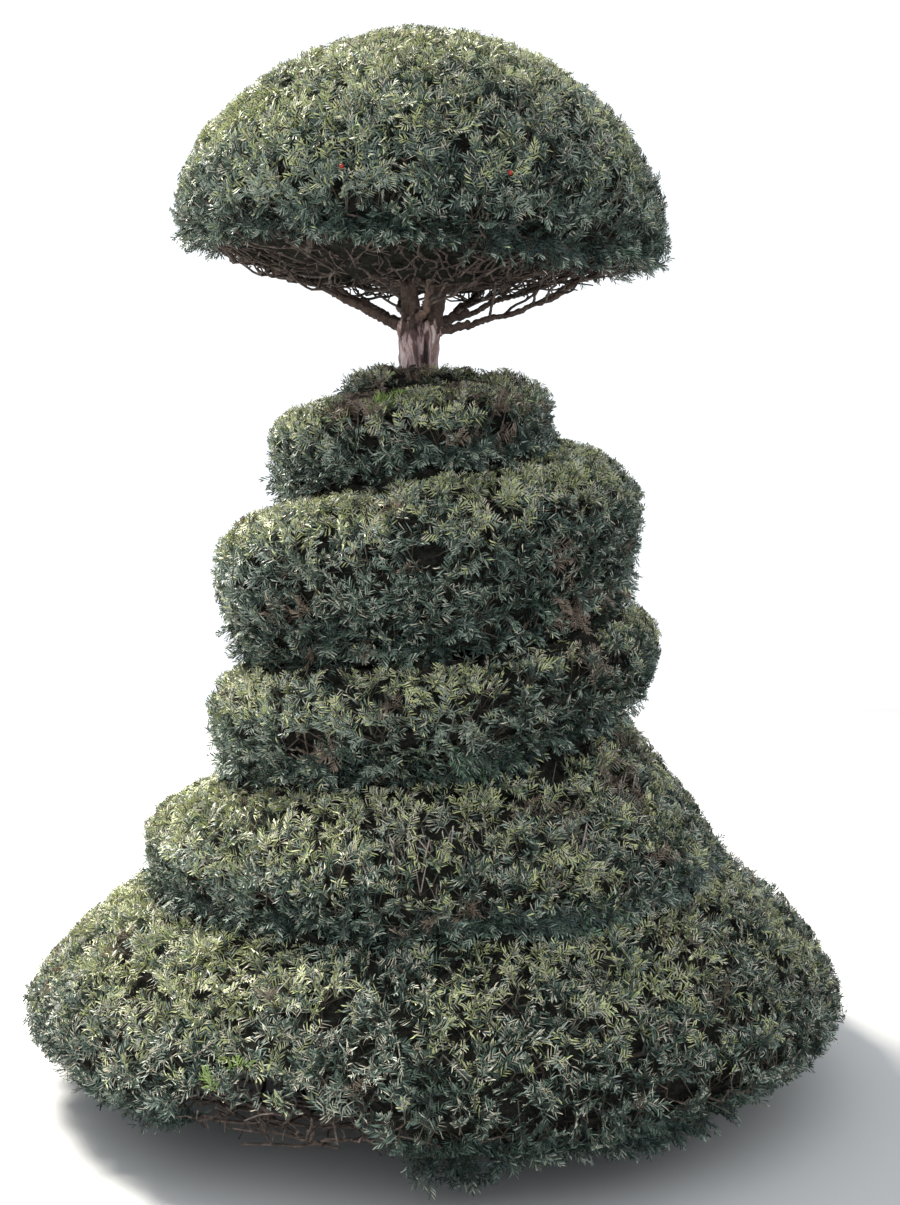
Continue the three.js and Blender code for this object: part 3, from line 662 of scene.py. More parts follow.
def level_at(number, points):
    """Where the shears went, against the smooth surface: a little relief, and the holes."""
    relief = RELIEF * (0.6 * waves(points, 0.16, 3) + 0.4 * waves(points, 0.05, 4))
    opened = np.maximum(near(number, points, HOLES), near(number, points, COMBS))
    return relief * (0.6 if number == HEAD else 1) - opened


def in_space(mass, points, drop):
    """Whether points are between the grooves of their mass, but for what hangs over."""
    number = mass["number"]
    _, turn, z = place_of(mass, points)
    if number == HEAD:
        return z > HEAD_LIP_Z - drop
    low = floor_of(number, turn)[1] - drop + edge_shift(number, turn, LIFTS)
    return (z > np.maximum(low, LEAST_Z)) & (z < roof_of(number, turn)[1] + OVERGROWTH)


def past_shears(mass, low_end, high_end, level):
    """How high both ends stand over the shears, and the share of the length under them."""
    low = height_over(mass, low_end) - level
    high = height_over(mass, high_end) - level
    return low, high, np.where(high > 0, -low / np.maximum(high - low, 1e-6), 1)


def rooted(mass, sprays):
    """The sprays whose root is inside the mass."""
    keep = height_over(mass, sprays["root"]) < -ROOT_DEPTH
    return {key: some[keep] for key, some in sprays.items()}


def clip_needles(mass, needles, sprays):
    """Drops the needles past the shears and shortens those that cross them."""
    base, way, across, sizes, spray = needles
    level = sprays["cut"][spray] + level_at(mass["number"], base)
    low, _, share = past_shears(mass, base, base + way * sizes[:, None], level)
    keep = (low < -0.001) & (share > LEAST_NEEDLE) & in_space(mass, base, sprays["drop"][spray])
    on_crown = (mass["number"] >= TURNS - 1) & (base[:, 2] > CROWN_Z)
    keep &= (low + level > -DEEPEST) | on_crown
    rows = base, way, across, sizes * np.minimum(share, 1), spray
    return [row[keep] for row in rows], low[keep]


def clip_shoots(mass, shoots, sprays):
    """Cuts the shoots off at the shears, and says which of them it has cut."""
    start, end, wide, narrow, spray = shoots
    level = sprays["cut"][spray] + level_at(mass["number"], end)
    low, high, share = past_shears(mass, start, end, level)
    end = mix(start, end, np.minimum(share, 1)[:, None])
    drop = sprays["drop"][spray]
    keep = (low < 0) & (share > LEAST_SHOOT)
    keep &= in_space(mass, start, drop) & in_space(mass, end, drop)
    return [row[keep] for row in (start, end, wide, narrow)], (high > 0)[keep]


# Colours are dealt out by spray. The first four tints run from dark to light: they are painted shade
# and painted light on the same needles.

SHADE, GREEN, GREY, SUNLIT, PALE, BROWN, FRESH, LIME = range(8)
SUN = unit(np.array([-0.44, 0.06, 0.90]))
TINT_STEPS = [-0.55, 0.18, 0.56]
TINT_NOISE = 0.28
# Shares of the shade, green and grey tints among hanging sprays: painted shade under the edges
HANGING_SHARES = [0.2, 0.38, 0.42]
# Heights over which sprays low on the skirt stop being held to the two darkest tints: painted shade
# near the ground
HEM_SHADE_Z = (0.16, 0.34)
SHADE_DEPTH = 0.034


def deal_tints(number, sprays, rng):
    """The tint of each spray, by the light on its place, by what the photo shows there and
    by chance: painted light and shade. Hanging sprays and those low on the skirt are held to
    the darker tints, as painted shade, and some are fresh."""
    at, normal = sprays["at"], sprays["normal"]
    count = len(at)
    score = 0.8 * (normal @ SUN) + 0.2 * waves(at, 0.22, 8) + rng.normal(0, TINT_NOISE, count)
    score += near(number, at, LIGHTER) - near(number, at, DARKER)
    tint = np.digitize(score, TINT_STEPS)
    hanging = sprays["kind"] >= SPRAY_KINDS
    low_hung = (sprays["drop"] > 1.2 * HANG_DROP) & (number != HEAD)
    fresh = rng.random(count) < 0.08 + 0.5 * low_hung
    mixed = rng.choice(3, count, p=HANGING_SHARES)
    tint = np.where(hanging, np.where(fresh, FRESH, mixed), tint)
    shaded_low = (number == 0) & (rng.random(count) > smooth(*HEM_SHADE_Z, at[:, 2]))
    tint = np.where(shaded_low, np.minimum(tint, GREEN), tint)
    dead = near(number, at, DEAD) > rng.random(count)
    if number != HEAD:
        dead |= waves(at, 0.13, 9) + rng.normal(0, 0.7, count) > 2.6
    tint = np.where(dead, BROWN, tint)
    return np.where(near(number, at, SPRIGS) > 0.5, LIME, tint)


def stray_tints(tint, low, up, rng):
    """Tints of needles: some are a tint off their spray's, more of them lighter near the shears
    and darker deeper in, as painted light and shade. Sunlit ones mostly turn grey unless they
    face up: painted light. Deep ones are in painted shade, and many that the shears have
    reached are pale: dried cut needles, more of them where they face up, as painted highlights."""
    chance = rng.random(len(tint))
    outer = smooth(-0.032, -0.004, low)
    lighter = chance > mix(0.82, 0.5, outer)
    darker = chance < mix(0.55, 0.2, outer)
    moved = np.clip(tint + lighter - darker, SHADE, SUNLIT)
    greyed = (moved == SUNLIT) & (rng.random(len(tint)) > 0.15 + smooth(0, 0.7, up))
    moved = np.where(greyed, GREY, moved)
    dried_and_highlit = rng.random(len(tint)) < 0.10 + 0.30 * smooth(0.1, 0.9, up)
    moved = np.where(dried_and_highlit & (low > -0.02) & (tint > SHADE), PALE, moved)
    moved = np.where(low < -SHADE_DEPTH, SHADE, moved)
    soft = (tint == FRESH) & (chance < 0.45)
    moved = np.where(soft, np.where(chance < 0.2, SHADE, GREY), moved)
    return np.where((tint > PALE) & ~soft, tint, moved)


# Meshes

def add_mesh(name, points, faces, materials, material_of=None, soft=False):
    """A piece in the scene, from points and faces that all have as many corners."""
    mesh = bpy.data.meshes.new(name)
    mesh.vertices.add(len(points))
    mesh.vertices.foreach_set("co", np.asarray(points, np.float32).ravel())
    mesh.loops.add(faces.size)
    mesh.loops.foreach_set("vertex_index", faces.astype(np.int32).ravel())
    mesh.polygons.add(len(faces))
    starts = np.arange(0, faces.size, faces.shape[1], dtype=np.int32)
    mesh.polygons.foreach_set("loop_start", starts)
    for material in materials:
        mesh.materials.append(material)
    if material_of is not None:
        mesh.polygons.foreach_set("material_index", material_of.astype(np.int32))
    mesh.polygons.foreach_set("use_smooth", np.full(len(faces), soft))
    mesh.update(calc_edges=True)
    piece = bpy.data.objects.new(name, mesh)
    bpy.context.scene.collection.objects.link(piece)
    return piece


def belong(piece, nodes=()):
    """The piece rides on the plant's one body, and stands for some nodes of the part."""
    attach(piece, BODY)
    if nodes:
        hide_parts(*nodes)
    return piece


def needle_mesh(needles, tints):
    """Flat blades with slanting ends, bent down past their middle: two faces each."""
    base, way, across, sizes, _ = needles
    side = across * (NEEDLE_WIDTH / 2 * np.where(tints == PALE, PALE_WIDTH, 1))[:, None]
    length = way * sizes[:, None]
    fall = np.cross(across, way) * (sizes * NEEDLE_BEND)[:, None]
    start = base - length * (NEEDLE_SLANT / 3)
    tip = base + length
    near_side = mix(start, tip, 1 - NEEDLE_SLANT) - side
    far_side = mix(start, tip, NEEDLE_SLANT) + side
    points = np.stack([start - side, near_side, tip + side - fall, far_side], axis=1)
    first = 4 * np.arange(len(base))[:, None]
    faces = np.concatenate([first + [0, 1, 3], first + [1, 2, 3]])
    return points.reshape(-1, 3), faces, np.concatenate([tints, tints])


def angles(sides):
    return TAU * np.arange(sides) / sides


def circle(across, other, sides):
    """A ring of unit radius between two directions."""
    angle = angles(sides)[:, None]
    return across * np.cos(angle) + other * np.sin(angle)


def tube_mesh(start, end, wide, narrow, sides):
    """Straight tapering tubes, open at their ends."""
    way = unit(end - start)
    helper = np.where(np.abs(way[:, 2:]) < 0.9, UP, [1.0, 0.0, 0.0])
    across = unit(np.cross(way, helper))
    ring = circle(across[:, None], np.cross(way, across)[:, None], sides)
    low = start[:, None] + ring * wide[:, None, None]
    high = end[:, None] + ring * narrow[:, None, None]
    points = np.concatenate([low, high], axis=1).reshape(-1, 3)
    first = 2 * sides * np.arange(len(start))[:, None, None]
    j = np.arange(sides)
    k = (j + 1) % sides
    faces = np.concatenate([
        np.stack([j, k, k + sides], axis=1),
        np.stack([j, k + sides, j + sides], axis=1),
    ])
    return points, (first + faces[None]).reshape(-1, 3)


def strip_mesh(start, end, wide, narrow):
    """Thin side shoots as flat tapering strips, two faces each."""
    across = unit(np.cross(end - start, [0.3, 0.2, 1.0]))
    low, high = across * wide[:, None], across * narrow[:, None]
    points = np.stack([start - low, start + low, end + high, end - high], axis=1)
    first = 4 * np.arange(len(start))[:, None]
    faces = np.concatenate([first + [0, 1, 2], first + [0, 2, 3]])
    return points.reshape(-1, 3), faces


def cut_ends(cut):
    """A face over the far end of each three-sided tube that the shears have cut."""
    return 6 * np.nonzero(cut)[0][:, None] + [3, 4, 5]


def part_of(points, faces, kind=0):
    """A mesh to be joined with others, all of one material."""
    return points, faces, np.full(len(faces), kind)


def joined(parts):
    """Meshes put together as one: each is points, faces and the material of every face."""
    points, faces, materials, base = [], [], [], 0
    for part_points, part_faces, part_materials in parts:
        points.append(part_points)
        faces.append(part_faces + base)
        materials.append(part_materials)
        base += len(part_points)
    return np.concatenate(points), np.concatenate(faces), np.concatenate(materials)


# Growth

def grow(feet, roots, rng):
    """Links every root to the wood nearest to it that is already there, and prefers wood
    that is a short way from the foot. A long link gets joints along its length."""
    nearest = np.min(np.linalg.norm(roots[:, None] - feet[None, :, :3], axis=-1), axis=1)
    room = len(feet) + int(np.sum(np.ceil(nearest / TWIG_LINK) + 1))
    at = np.zeros((room, 3))
    path = np.zeros(room)
    parent = np.full(room, -1)
    load = np.zeros(room)
    used = len(feet)
    at[:used] = feet[:, :3]
    path[:used] = feet[:, 3]
    for i in np.argsort(nearest):
        root = roots[i]
        reach = np.linalg.norm(at[:used] - root, axis=1)
        best = int(np.argmin(reach + PATH_SHARE * path[:used]))
        start, length = at[best].copy(), reach[best]
        joints = max(1, math.ceil(length / TWIG_LINK))
        for joint in range(1, joints + 1):
            at[used] = mix(start, root, joint / joints)
            if joint < joints:
                at[used] += rng.normal(0, TWIG_WANDER * TWIG_LINK, 3)
            path[used] = path[best] + length / joints
            parent[used] = best
            best = used
            used += 1
        load[best] += 1
    for i in range(used - 1, len(feet) - 1, -1):
        load[parent[i]] += load[i]
    return at[:used], parent[:used], load[:used]


def twig_parts(at, parent, load):
    """Tubes along the links, thicker where they carry more: three-sided where they are fine."""
    child = np.nonzero(parent >= 0)[0]
    radius = TWIG_RADIUS + (STEM_RADIUS - TWIG_RADIUS) * np.sqrt(load / max(load.max(), 1))
    start, end = at[parent[child]], at[child]
    wide = np.minimum(radius[child] * 1.1, np.maximum(radius[parent[child]], radius[child]))
    narrow = radius[child] * 0.92
    stout = load[child] >= STOUT_LOAD
    parts = []
    for sides, chosen in ((3, ~stout), (6, stout)):
        if chosen.any():
            rows = (row[chosen] for row in (start, end, wide, narrow))
            parts.append(part_of(*tube_mesh(*rows, sides), TWIG_KIND))
    return parts


# Trunk and limbs

def trunk_axis(z):
    """The middle of the trunk at some heights: it leans more and more to the left."""
    z = np.asarray(z, float)
    zero = np.zeros_like(z)
    return np.stack([TRUNK_LEAN * (np.maximum(z, 0) / TRUNK_FORK_Z) ** LEAN_POWER, zero, z], -1)


def limb_line(name, count):
    """The middle line of a limb, worked out from its foot, its tip and its bend."""
    (foot_turn, foot_r, foot_z), (tip_turn, tip_r, tip_z), (sag, sway), _ = LIMBS[name]
    foot = trunk_axis(foot_z) + polar(math.radians(foot_turn), foot_r, 0)
    tip = polar(math.radians(tip_turn), tip_r, tip_z)
    side = unit(np.array([foot[1] - tip[1], tip[0] - foot[0], 0]))
    share = np.linspace(0, 1, count)[:, None]
    line = mix(foot, tip, share) + side * sway * np.sin(TAU * share) * (1 - share / 2)
    line[:, 2:] -= sag * np.sin(math.pi * share)
    return line


def drawn_out(points, along, share):
    """Points squeezed along the wood, so that noise over them is drawn out along it."""
    return points - along * (points * along).sum(-1, keepdims=True) * share


def bark_relief(points):
    """Flutes, plates and crumbs of upright bark."""
    stretched = drawn_out(points, UP, 0.82)
    plates = smooth(-0.3, 0.5, waves(stretched, 0.026, 21))
    return (
        0.0024 * waves(stretched, 0.020, 22)
        + 0.0018 * (plates - 0.5)
        + 0.0005 * waves(stretched, 0.007, 23)
    )


def ring_mesh(rings):
    """A skin over rings of points, closed by a fan at either end."""
    count, sides, _ = rings.shape
    points = np.concatenate([rings.reshape(-1, 3), rings[0].mean(0)[None], rings[-1].mean(0)[None]])
    i, j = np.meshgrid(np.arange(count - 1), np.arange(sides), indexing="ij")
    k = (j + 1) % sides
    a, b = i * sides + j, i * sides + k
    quads = np.stack([a, b, b + sides, a + sides], -1).reshape(-1, 4)
    j = np.arange(sides)
    k = (j + 1) % sides
    low = np.stack([np.full(sides, count * sides), k, j], -1)
    last = (count - 1) * sides
    high = np.stack([np.full(sides, count * sides + 1), last + j, last + k], -1)
    return points, np.concatenate([quads[:, [0, 1, 2]], quads[:, [0, 2, 3]], low, high])


def limb_rings(line, radii, sides):
    """Rings across a line, in frames carried along it without twist."""
    way = unit(np.gradient(line, axis=0))
    across = unit(np.cross(way[0], UP))
    rings = []
    for point, ahead, radius in zip(line, way, radii):
        across = unit(across - ahead * (across @ ahead))
        rings.append(point + circle(across, np.cross(ahead, across), sides) * radius)
    return np.array(rings)


def trunk_rings(levels, sides):
    """Rings of the trunk with its buttresses and, near the fork, its oval and its cleft."""
    angle = angles(sides)
    radius, oval, cleft = (
        np.interp(levels, TRUNK_Z, sizes)[:, None]
        for sizes in (TRUNK_RADIUS, TRUNK_OVAL, TRUNK_CLEFT)
    )
    fade = np.clip(1 - levels / BUTTRESS_TOP, 0, 1)[:, None]
    buttress = 1 + BUTTRESS_DEPTH * fade * np.cos(BUTTRESSES * angle)
    notch = 1 - cleft * np.exp(-(((angle - CLEFT_AZIMUTH) / CLEFT_WIDTH) ** 2))
    reach = radius * buttress * notch
    ring = [reach * oval * np.cos(angle), reach * np.sin(angle), np.zeros_like(reach)]
    return trunk_axis(levels)[:, None] + np.stack(ring, -1)


def remeshed(parts):
    """Closed meshes fused into one smooth skin, as points, normals and triangles."""
    points, faces, _ = joined([part_of(*part) for part in parts])
    piece = add_mesh("fusing", points, faces, [])
    fuse = piece.modifiers.new("fuse", "REMESH")
    fuse.mode = "VOXEL"
    fuse.voxel_size = FUSE_VOXEL
    soften = piece.modifiers.new("soften", "SMOOTH")
    soften.iterations = FUSE_ROUNDS
    evaluated = piece.evaluated_get(bpy.context.evaluated_depsgraph_get())
    mesh = evaluated.to_mesh()
    mesh.calc_loop_triangles()
    points, normals = np.zeros((2, len(mesh.vertices), 3), np.float32)
    mesh.vertices.foreach_get("co", points.ravel())
    mesh.vertices.foreach_get("normal", normals.ravel())
    faces = np.zeros((len(mesh.loop_triangles), 3), np.int32)
    mesh.loop_triangles.foreach_get("vertices", faces.ravel())
    evaluated.to_mesh_clear()
    bpy.data.objects.remove(piece)
    return points.astype(float), normals, faces


def fork_mesh():
    """The fork, the stems and the feet of the boughs, fused and with relief."""
    parts = [ring_mesh(trunk_rings(np.linspace(FUSE_LOW_Z, TRUNK_FORK_Z, 60), 64))]
    for name in LIMBS:
        whole = name in STEMS
        rings = LIMB_RINGS if whole else FUSE_FOOT_RINGS
        radii = np.linspace(*LIMBS[name][3], LIMB_RINGS)[:rings]
        flare = 1 + FOOT_FLARE * np.exp(-np.arange(rings) / (8 if whole else 4))
        parts.append(ring_mesh(limb_rings(limb_line(name, LIMB_RINGS)[:rings], radii * flare, 20)))
    points, normals, faces = remeshed(parts)
    return points + normals * bark_relief(points)[:, None], faces


def lower_trunk_mesh():
    """The trunk from its flat cut up into the fused skin, with relief above the cut."""
    levels = np.concatenate([np.linspace(0, FLARE_Z, 16), np.linspace(FLARE_Z + 0.02, LOWER_TOP_Z, 90)])
    rings = trunk_rings(levels, 56)
    outward = unit(rings - trunk_axis(rings[:, 0, 2])[:, None])
    shift = bark_relief(rings.reshape(-1, 3)).reshape(rings.shape[:2])
    return ring_mesh(rings + outward * (shift * smooth(0, 0.02, rings[:, :, 2]))[..., None])


def is_shaded_bark(middle):
    """Whether faces are over the fork or far out from the trunk's axis, with a ragged edge:
    where the bark takes painted shade under the head and the limbs' darker bark.
    """
    ragged = SHADED_BARK_RAGGED * waves(middle * [1, 1, 0.4], 0.018, 24)
    apart = np.linalg.norm((middle - trunk_axis(middle[:, 2]))[:, :2], axis=1)
    return (middle[:, 2] + ragged > SHADED_BARK_Z) | (apart + 0.3 * ragged > SHADED_BARK_RADIUS)


def build_trunk():
    """The bark of the trunk, the fork and the stems, as one piece."""
    points, faces = fork_mesh()
    # Faces in the head's painted shade and out on the limbs take the dark bough bark
    dark = is_shaded_bark(points[faces].mean(1))
    fork = points, faces, dark.astype(int)
    points, faces, kinds = joined([fork, part_of(*lower_trunk_mesh())])
    piece = add_mesh("bark_trunk", points, faces, [BARK, LIMB], kinds, soft=True)
    belong(piece, ("trunk", *STEMS))


def build_bough(name):
    """The bark of a bough, with some wander and knots. Returns the bough's middle line."""
    line = limb_line(name, BOUGH_RINGS)
    share = np.linspace(0, 1, BOUGH_RINGS)[:, None]
    line = line + wander(line, 0.11, 31) * 0.0035 * np.sin(math.pi * share)
    radii = np.linspace(*LIMBS[name][3], BOUGH_RINGS) * (1 + 0.07 * waves(line, 0.05, 34))
    rings = limb_rings(line, radii, BOUGH_SIDES)
    way = unit(np.gradient(line, axis=0))[:, None]
    stretched = drawn_out(rings, way, 0.85)
    knots = 0.16 * waves(stretched, 0.012, 35) + 0.1 * waves(stretched, 0.005, 36)
    rings = rings + unit(rings - line[:, None]) * (knots * radii[:, None])[..., None]
    # The front bough's bark is lighter: painted light
    material = LIT_FRONT_LIMB if name == "bough_front" else LIMB
    piece = add_mesh(f"bark_{name}", *ring_mesh(rings), [material], soft=True)
    belong(piece, (name,))
    return line


# Cores of painted shade and dead twigs, deep under the clipped surface

def weave_z(radius):
    """Height of the lower side of the bare wood under the head."""
    return np.interp(radius, WEAVE_RADIUS, WEAVE_Z)


def weave_depth(angle):
    """The bare wood lets the sky through on the right, and is closed elsewhere."""
    return CORE_RISE * (1 + CORE_OPEN * smooth(0.6, 0.95, np.cos(angle)))


def moved_in(number, turns):
    """Outlines of a mass, and the same moved in by the depth of its core."""
    r, z = profile(number, turns)
    if number == HEAD:
        r, z = r[:, FACE_STEPS:], z[:, FACE_STEPS:]
    along_r, along_z = np.gradient(r, axis=1), np.gradient(z, axis=1)
    length = np.hypot(along_r, along_z) + 1e-9
    share = np.linspace(0, 1, r.shape[1])
    depth = CORE_DEPTH * (1 if number == HEAD else mix(0.45, 1, np.sin(math.pi * share)))
    return r, z, np.maximum(r - depth * along_z / length, 0), z + depth * along_r / length


def head_core(turns):
    """Outlines of the head's core, whose lower side stays over the bare wood."""
    _, _, inset_r, inset_z = moved_in(HEAD, turns)
    low_r = np.ones((len(turns), 1)) * np.linspace(0, HEAD_RADIUS - 1.3 * CORE_DEPTH, 9)
    low_z = weave_z(low_r) + weave_depth(TAU * turns)[:, None]
    inset_z = np.minimum(inset_z, HEAD_TOP_Z - CORE_DEPTH)
    return np.concatenate([low_r, inset_r], axis=1), np.concatenate([low_z, inset_z], axis=1)


def tier_core(number, turns):
    """Outlines of the core of a half turn or of the skirt, which stays inside its edges."""
    r, z, inset_r, inset_z = moved_in(number, turns)
    low = z[:, :1] + 1.3 * edge_shift(number, turns[:, None], LIFTS)
    high = z[:, -1:] - 0.03 * smooth(TURNS - 0.25, TURNS - 0.15, turns[:, None])
    edge = [np.interp(at, up, out) for at, up, out in zip(low[:, 0], z, r)]
    edge = np.array(edge)[:, None] - 0.7 * CORE_DEPTH
    inset_r = np.where(inset_z < low, np.minimum(inset_r, edge), inset_r)
    inner = np.full_like(low, CORE_INNER)
    under = np.full_like(low, UNDERSIDE_Z) if number == 0 else low
    ring_r = [inner, inset_r[:, :1], inset_r, inset_r[:, -1:], inner]
    ring_z = [under, np.maximum(low, under), np.clip(inset_z, low, high), high, high]
    return np.concatenate(ring_r, axis=1), np.concatenate(ring_z, axis=1)


def build_core(mass):
    """The lumpy dark core of a mass: painted shade, in the colour of dead litter."""
    number = mass["number"]
    turns = np.linspace(mass["start"], mass["end"], CORE_STEPS)
    ring_r, ring_z = head_core(turns) if number == HEAD else tier_core(number, turns)
    rings = polar(TAU * turns[:, None], ring_r, ring_z)
    lumps = CORE_LUMPS * wander(rings, 0.05, 41)
    rings = rings + lumps * smooth(CORE_INNER, 0.09, ring_r)[..., None]
    if number == HEAD:
        rings = tilted(rings.reshape(-1, 3)).reshape(rings.shape)
    belong(add_mesh(f"core_{mass['name']}", *ring_mesh(rings), [SHADE_AND_LITTER]))


# Materials

def new_material(name, roughness):
    """A Principled material."""
    material = bpy.data.materials.new(name)
    material.use_nodes = True
    shader_of(material).inputs["Roughness"].default_value = roughness
    return material


def shader_of(material):
    return material.node_tree.nodes["Principled BSDF"]


def add_node(material, kind, sockets, links=()):
    """A node with some of its sockets set and some fed by other nodes' outputs."""
    node = material.node_tree.nodes.new(kind)
    for socket, value in sockets.items():
        node.inputs[socket].default_value = value
    for source, socket in links:
        material.node_tree.links.new(source, node.inputs[socket])
    return node


def feed(material, source, socket):
    """Feeds an output into a socket of the material's shader."""
    material.node_tree.links.new(source, shader_of(material).inputs[socket])


def noise_node(material, stretch=(1, 1, 1), offset=0.0, **sockets):
    """Noise over the plant's own coordinates."""
    place = add_node(material, "ShaderNodeTexCoord", {}).outputs["Object"]
    sizes = {"Scale": stretch, "Location": (offset,) * 3}
    mapping = add_node(material, "ShaderNodeMapping", sizes, [(place, "Vector")])
    links = [(mapping.outputs["Vector"], "Vector")]
    return add_node(material, "ShaderNodeTexNoise", sockets, links).outputs["Fac"]


def ramp_node(material, source, stops):
    """Colours along a value, as pairs of a place and a colour."""
    ramp = add_node(material, "ShaderNodeValToRGB", {}, [(source, "Fac")])
    elements = ramp.color_ramp.elements
    elements[0].position, elements[0].color = stops[0][0], (*stops[0][1], 1)
    elements[1].position, elements[1].color = stops[-1][0], (*stops[-1][1], 1)
    for place, colour in stops[1:-1]:
        elements.new(place).color = (*colour, 1)
    return ramp.outputs["Color"]


def needle_material(name, dark, light, roughness):
    """Needles of one tint: its two colours follow a fine noise, and so does its gloss."""
    material = new_material(name, roughness)
    noise = noise_node(material, Scale=70.0, Detail=3.0)
    feed(material, ramp_node(material, noise, [(0.32, dark), (0.68, light)]), "Base Color")
    gloss = {"To Min": roughness - 0.08, "To Max": roughness + 0.14}
    gloss = add_node(material, "ShaderNodeMapRange", gloss, [(noise, "Value")])
    feed(material, gloss.outputs["Result"], "Roughness")
    return material


def bark_material(name, stops, scale, roughness, bump, stretch=(1, 1, 1)):
    """Bark in patches of colour, with finer streaks that are darker and lower."""
    material = new_material(name, roughness)
    sockets = {"Scale": scale, "Detail": 5.0, "Roughness": 0.62, "Distortion": 0.5}
    patches = ramp_node(material, noise_node(material, stretch, **sockets), stops)
    streaks = noise_node(material, stretch, 3.7, Scale=scale * 3.6, Detail=4.0)
    shade = ramp_node(material, streaks, [(0.3, (0.5,) * 3), (0.62, (1.0,) * 3)])
    blend = add_node(material, "ShaderNodeMix", {})
    blend.data_type = "RGBA"
    blend.blend_type = "MULTIPLY"
    blend.inputs["Factor"].default_value = 0.85
    material.node_tree.links.new(patches, blend.inputs["A"])
    material.node_tree.links.new(shade, blend.inputs["B"])
    feed(material, blend.outputs["Result"], "Base Color")
    height = {"Strength": bump, "Distance": 0.003}
    height = add_node(material, "ShaderNodeBump", height, [(streaks, "Height")])
    feed(material, height.outputs["Normal"], "Normal")
    return material


# The first four, from shade to sunlit, are the same needles painted with more and more light
NEEDLES = [
    needle_material("needles_shade", (0.014, 0.029, 0.025), (0.043, 0.073, 0.061), 0.40),
    needle_material("needles_green", (0.043, 0.083, 0.059), (0.126, 0.189, 0.144), 0.40),
    needle_material("needles_grey", (0.150, 0.197, 0.160), (0.350, 0.400, 0.328), 0.40),
    needle_material("needles_sunlit", (0.320, 0.370, 0.165), (0.590, 0.615, 0.310), 0.44),
    needle_material("needles_pale", (0.400, 0.370, 0.290), (0.700, 0.650, 0.510), 0.5),
    needle_material("needles_brown", (0.120, 0.090, 0.068), (0.280, 0.220, 0.168), 0.6),
    needle_material("needles_fresh", (0.055, 0.115, 0.070), (0.150, 0.250, 0.150), 0.4),
    needle_material("needles_lime", (0.150, 0.240, 0.050), (0.320, 0.440, 0.130), 0.4),
]
SHOOT = needle_material("young_shoots", (0.050, 0.045, 0.032), (0.120, 0.100, 0.072), 0.55)
CUT = needle_material("cut_ends", (0.42, 0.36, 0.26), (0.62, 0.55, 0.42), 0.6)
ARIL = needle_material("ripe_arils", (0.25, 0.012, 0.010), (0.42, 0.03, 0.02), 0.35)

TWIG_STOPS = [(0.3, (0.023, 0.016, 0.013)), (0.5, (0.082, 0.058, 0.046)), (0.72, (0.22, 0.165, 0.13))]
STUB_STOPS = [(0.3, (0.13, 0.105, 0.09)), (0.5, (0.32, 0.27, 0.24)), (0.72, (0.54, 0.47, 0.42))]
SHADE_AND_LITTER_STOPS = [(0.35, (0.012, 0.014, 0.012)), (0.7, (0.048, 0.044, 0.037))]
LIMB_STOPS = [
    (0.28, (0.028, 0.017, 0.013)),
    (0.50, (0.120, 0.078, 0.060)),
    (0.62, (0.075, 0.044, 0.033)),
    (0.78, (0.240, 0.170, 0.135)),
]
# Painted light: the front bough is in brighter light in the photo, so its bark is the bough bark made
# 2.1 times lighter
LIT_FRONT_STOPS = [(place, tuple(2.1 * part for part in colour)) for place, colour in LIMB_STOPS]
BARK_STOPS = [
    (0.33, (0.032, 0.018, 0.017)),
    (0.42, (0.180, 0.105, 0.098)),
    (0.49, (0.760, 0.570, 0.550)),
    (0.56, (0.300, 0.175, 0.150)),
    (0.64, (0.980, 0.800, 0.770)),
]
TWIG = bark_material("twig_bark", TWIG_STOPS, 60.0, 0.8, 0.4)
STUB = bark_material("dead_twig_bark", STUB_STOPS, 60.0, 0.85, 0.4)
LIMB = bark_material("bough_bark", LIMB_STOPS, 40.0, 0.82, 0.7)
LIT_FRONT_LIMB = bark_material("front_bough_bark_painted_light", LIT_FRONT_STOPS, 40.0, 0.82, 0.7)
BARK = bark_material("yew_bark", BARK_STOPS, 28.0, 0.82, 0.7, (1, 1, 0.28))
SHADE_AND_LITTER = bark_material("inner_shade_and_litter", SHADE_AND_LITTER_STOPS, 90.0, 0.95, 0.8)
# The core has no gloss, so that its painted shade stays dark
shader_of(SHADE_AND_LITTER).inputs["Specular IOR Level"].default_value = 0.0

TWIG_KIND, SHOOT_KIND, CUT_KIND, STUB_KIND = range(4)
TWIG_MATERIALS = [TWIG, SHOOT, CUT, STUB]


# The plant

def all_masses():
    """Every mass of foliage, with the turns at which it starts and ends."""
    found = []
    for number in range(TURNS + 1):
        label = "skirt" if number == 0 else f"tier_{number}"
        end = number + (LAST_TURN if number == TURNS else 1)
        halves = (("back", number, number + 0.5), ("front", number + 0.5, end))
        for side, start, stop in halves:
            found.append({"name": f"{label}_{side}", "number": number, "start": start, "end": stop})
    found.append({"name": "head", "number": HEAD, "start": 0.0, "end": 1.0})
    return found


def limb_feet(line):
    """Every third place of a limb past its first quarter, and its way from the trunk."""
    way = np.concatenate([[0], np.cumsum(np.linalg.norm(np.diff(line, axis=0), axis=1))])
    chosen = np.arange(len(line) // 4, len(line), 3)
    return np.concatenate([line[chosen], 0.3 * way[chosen, None]], axis=1)


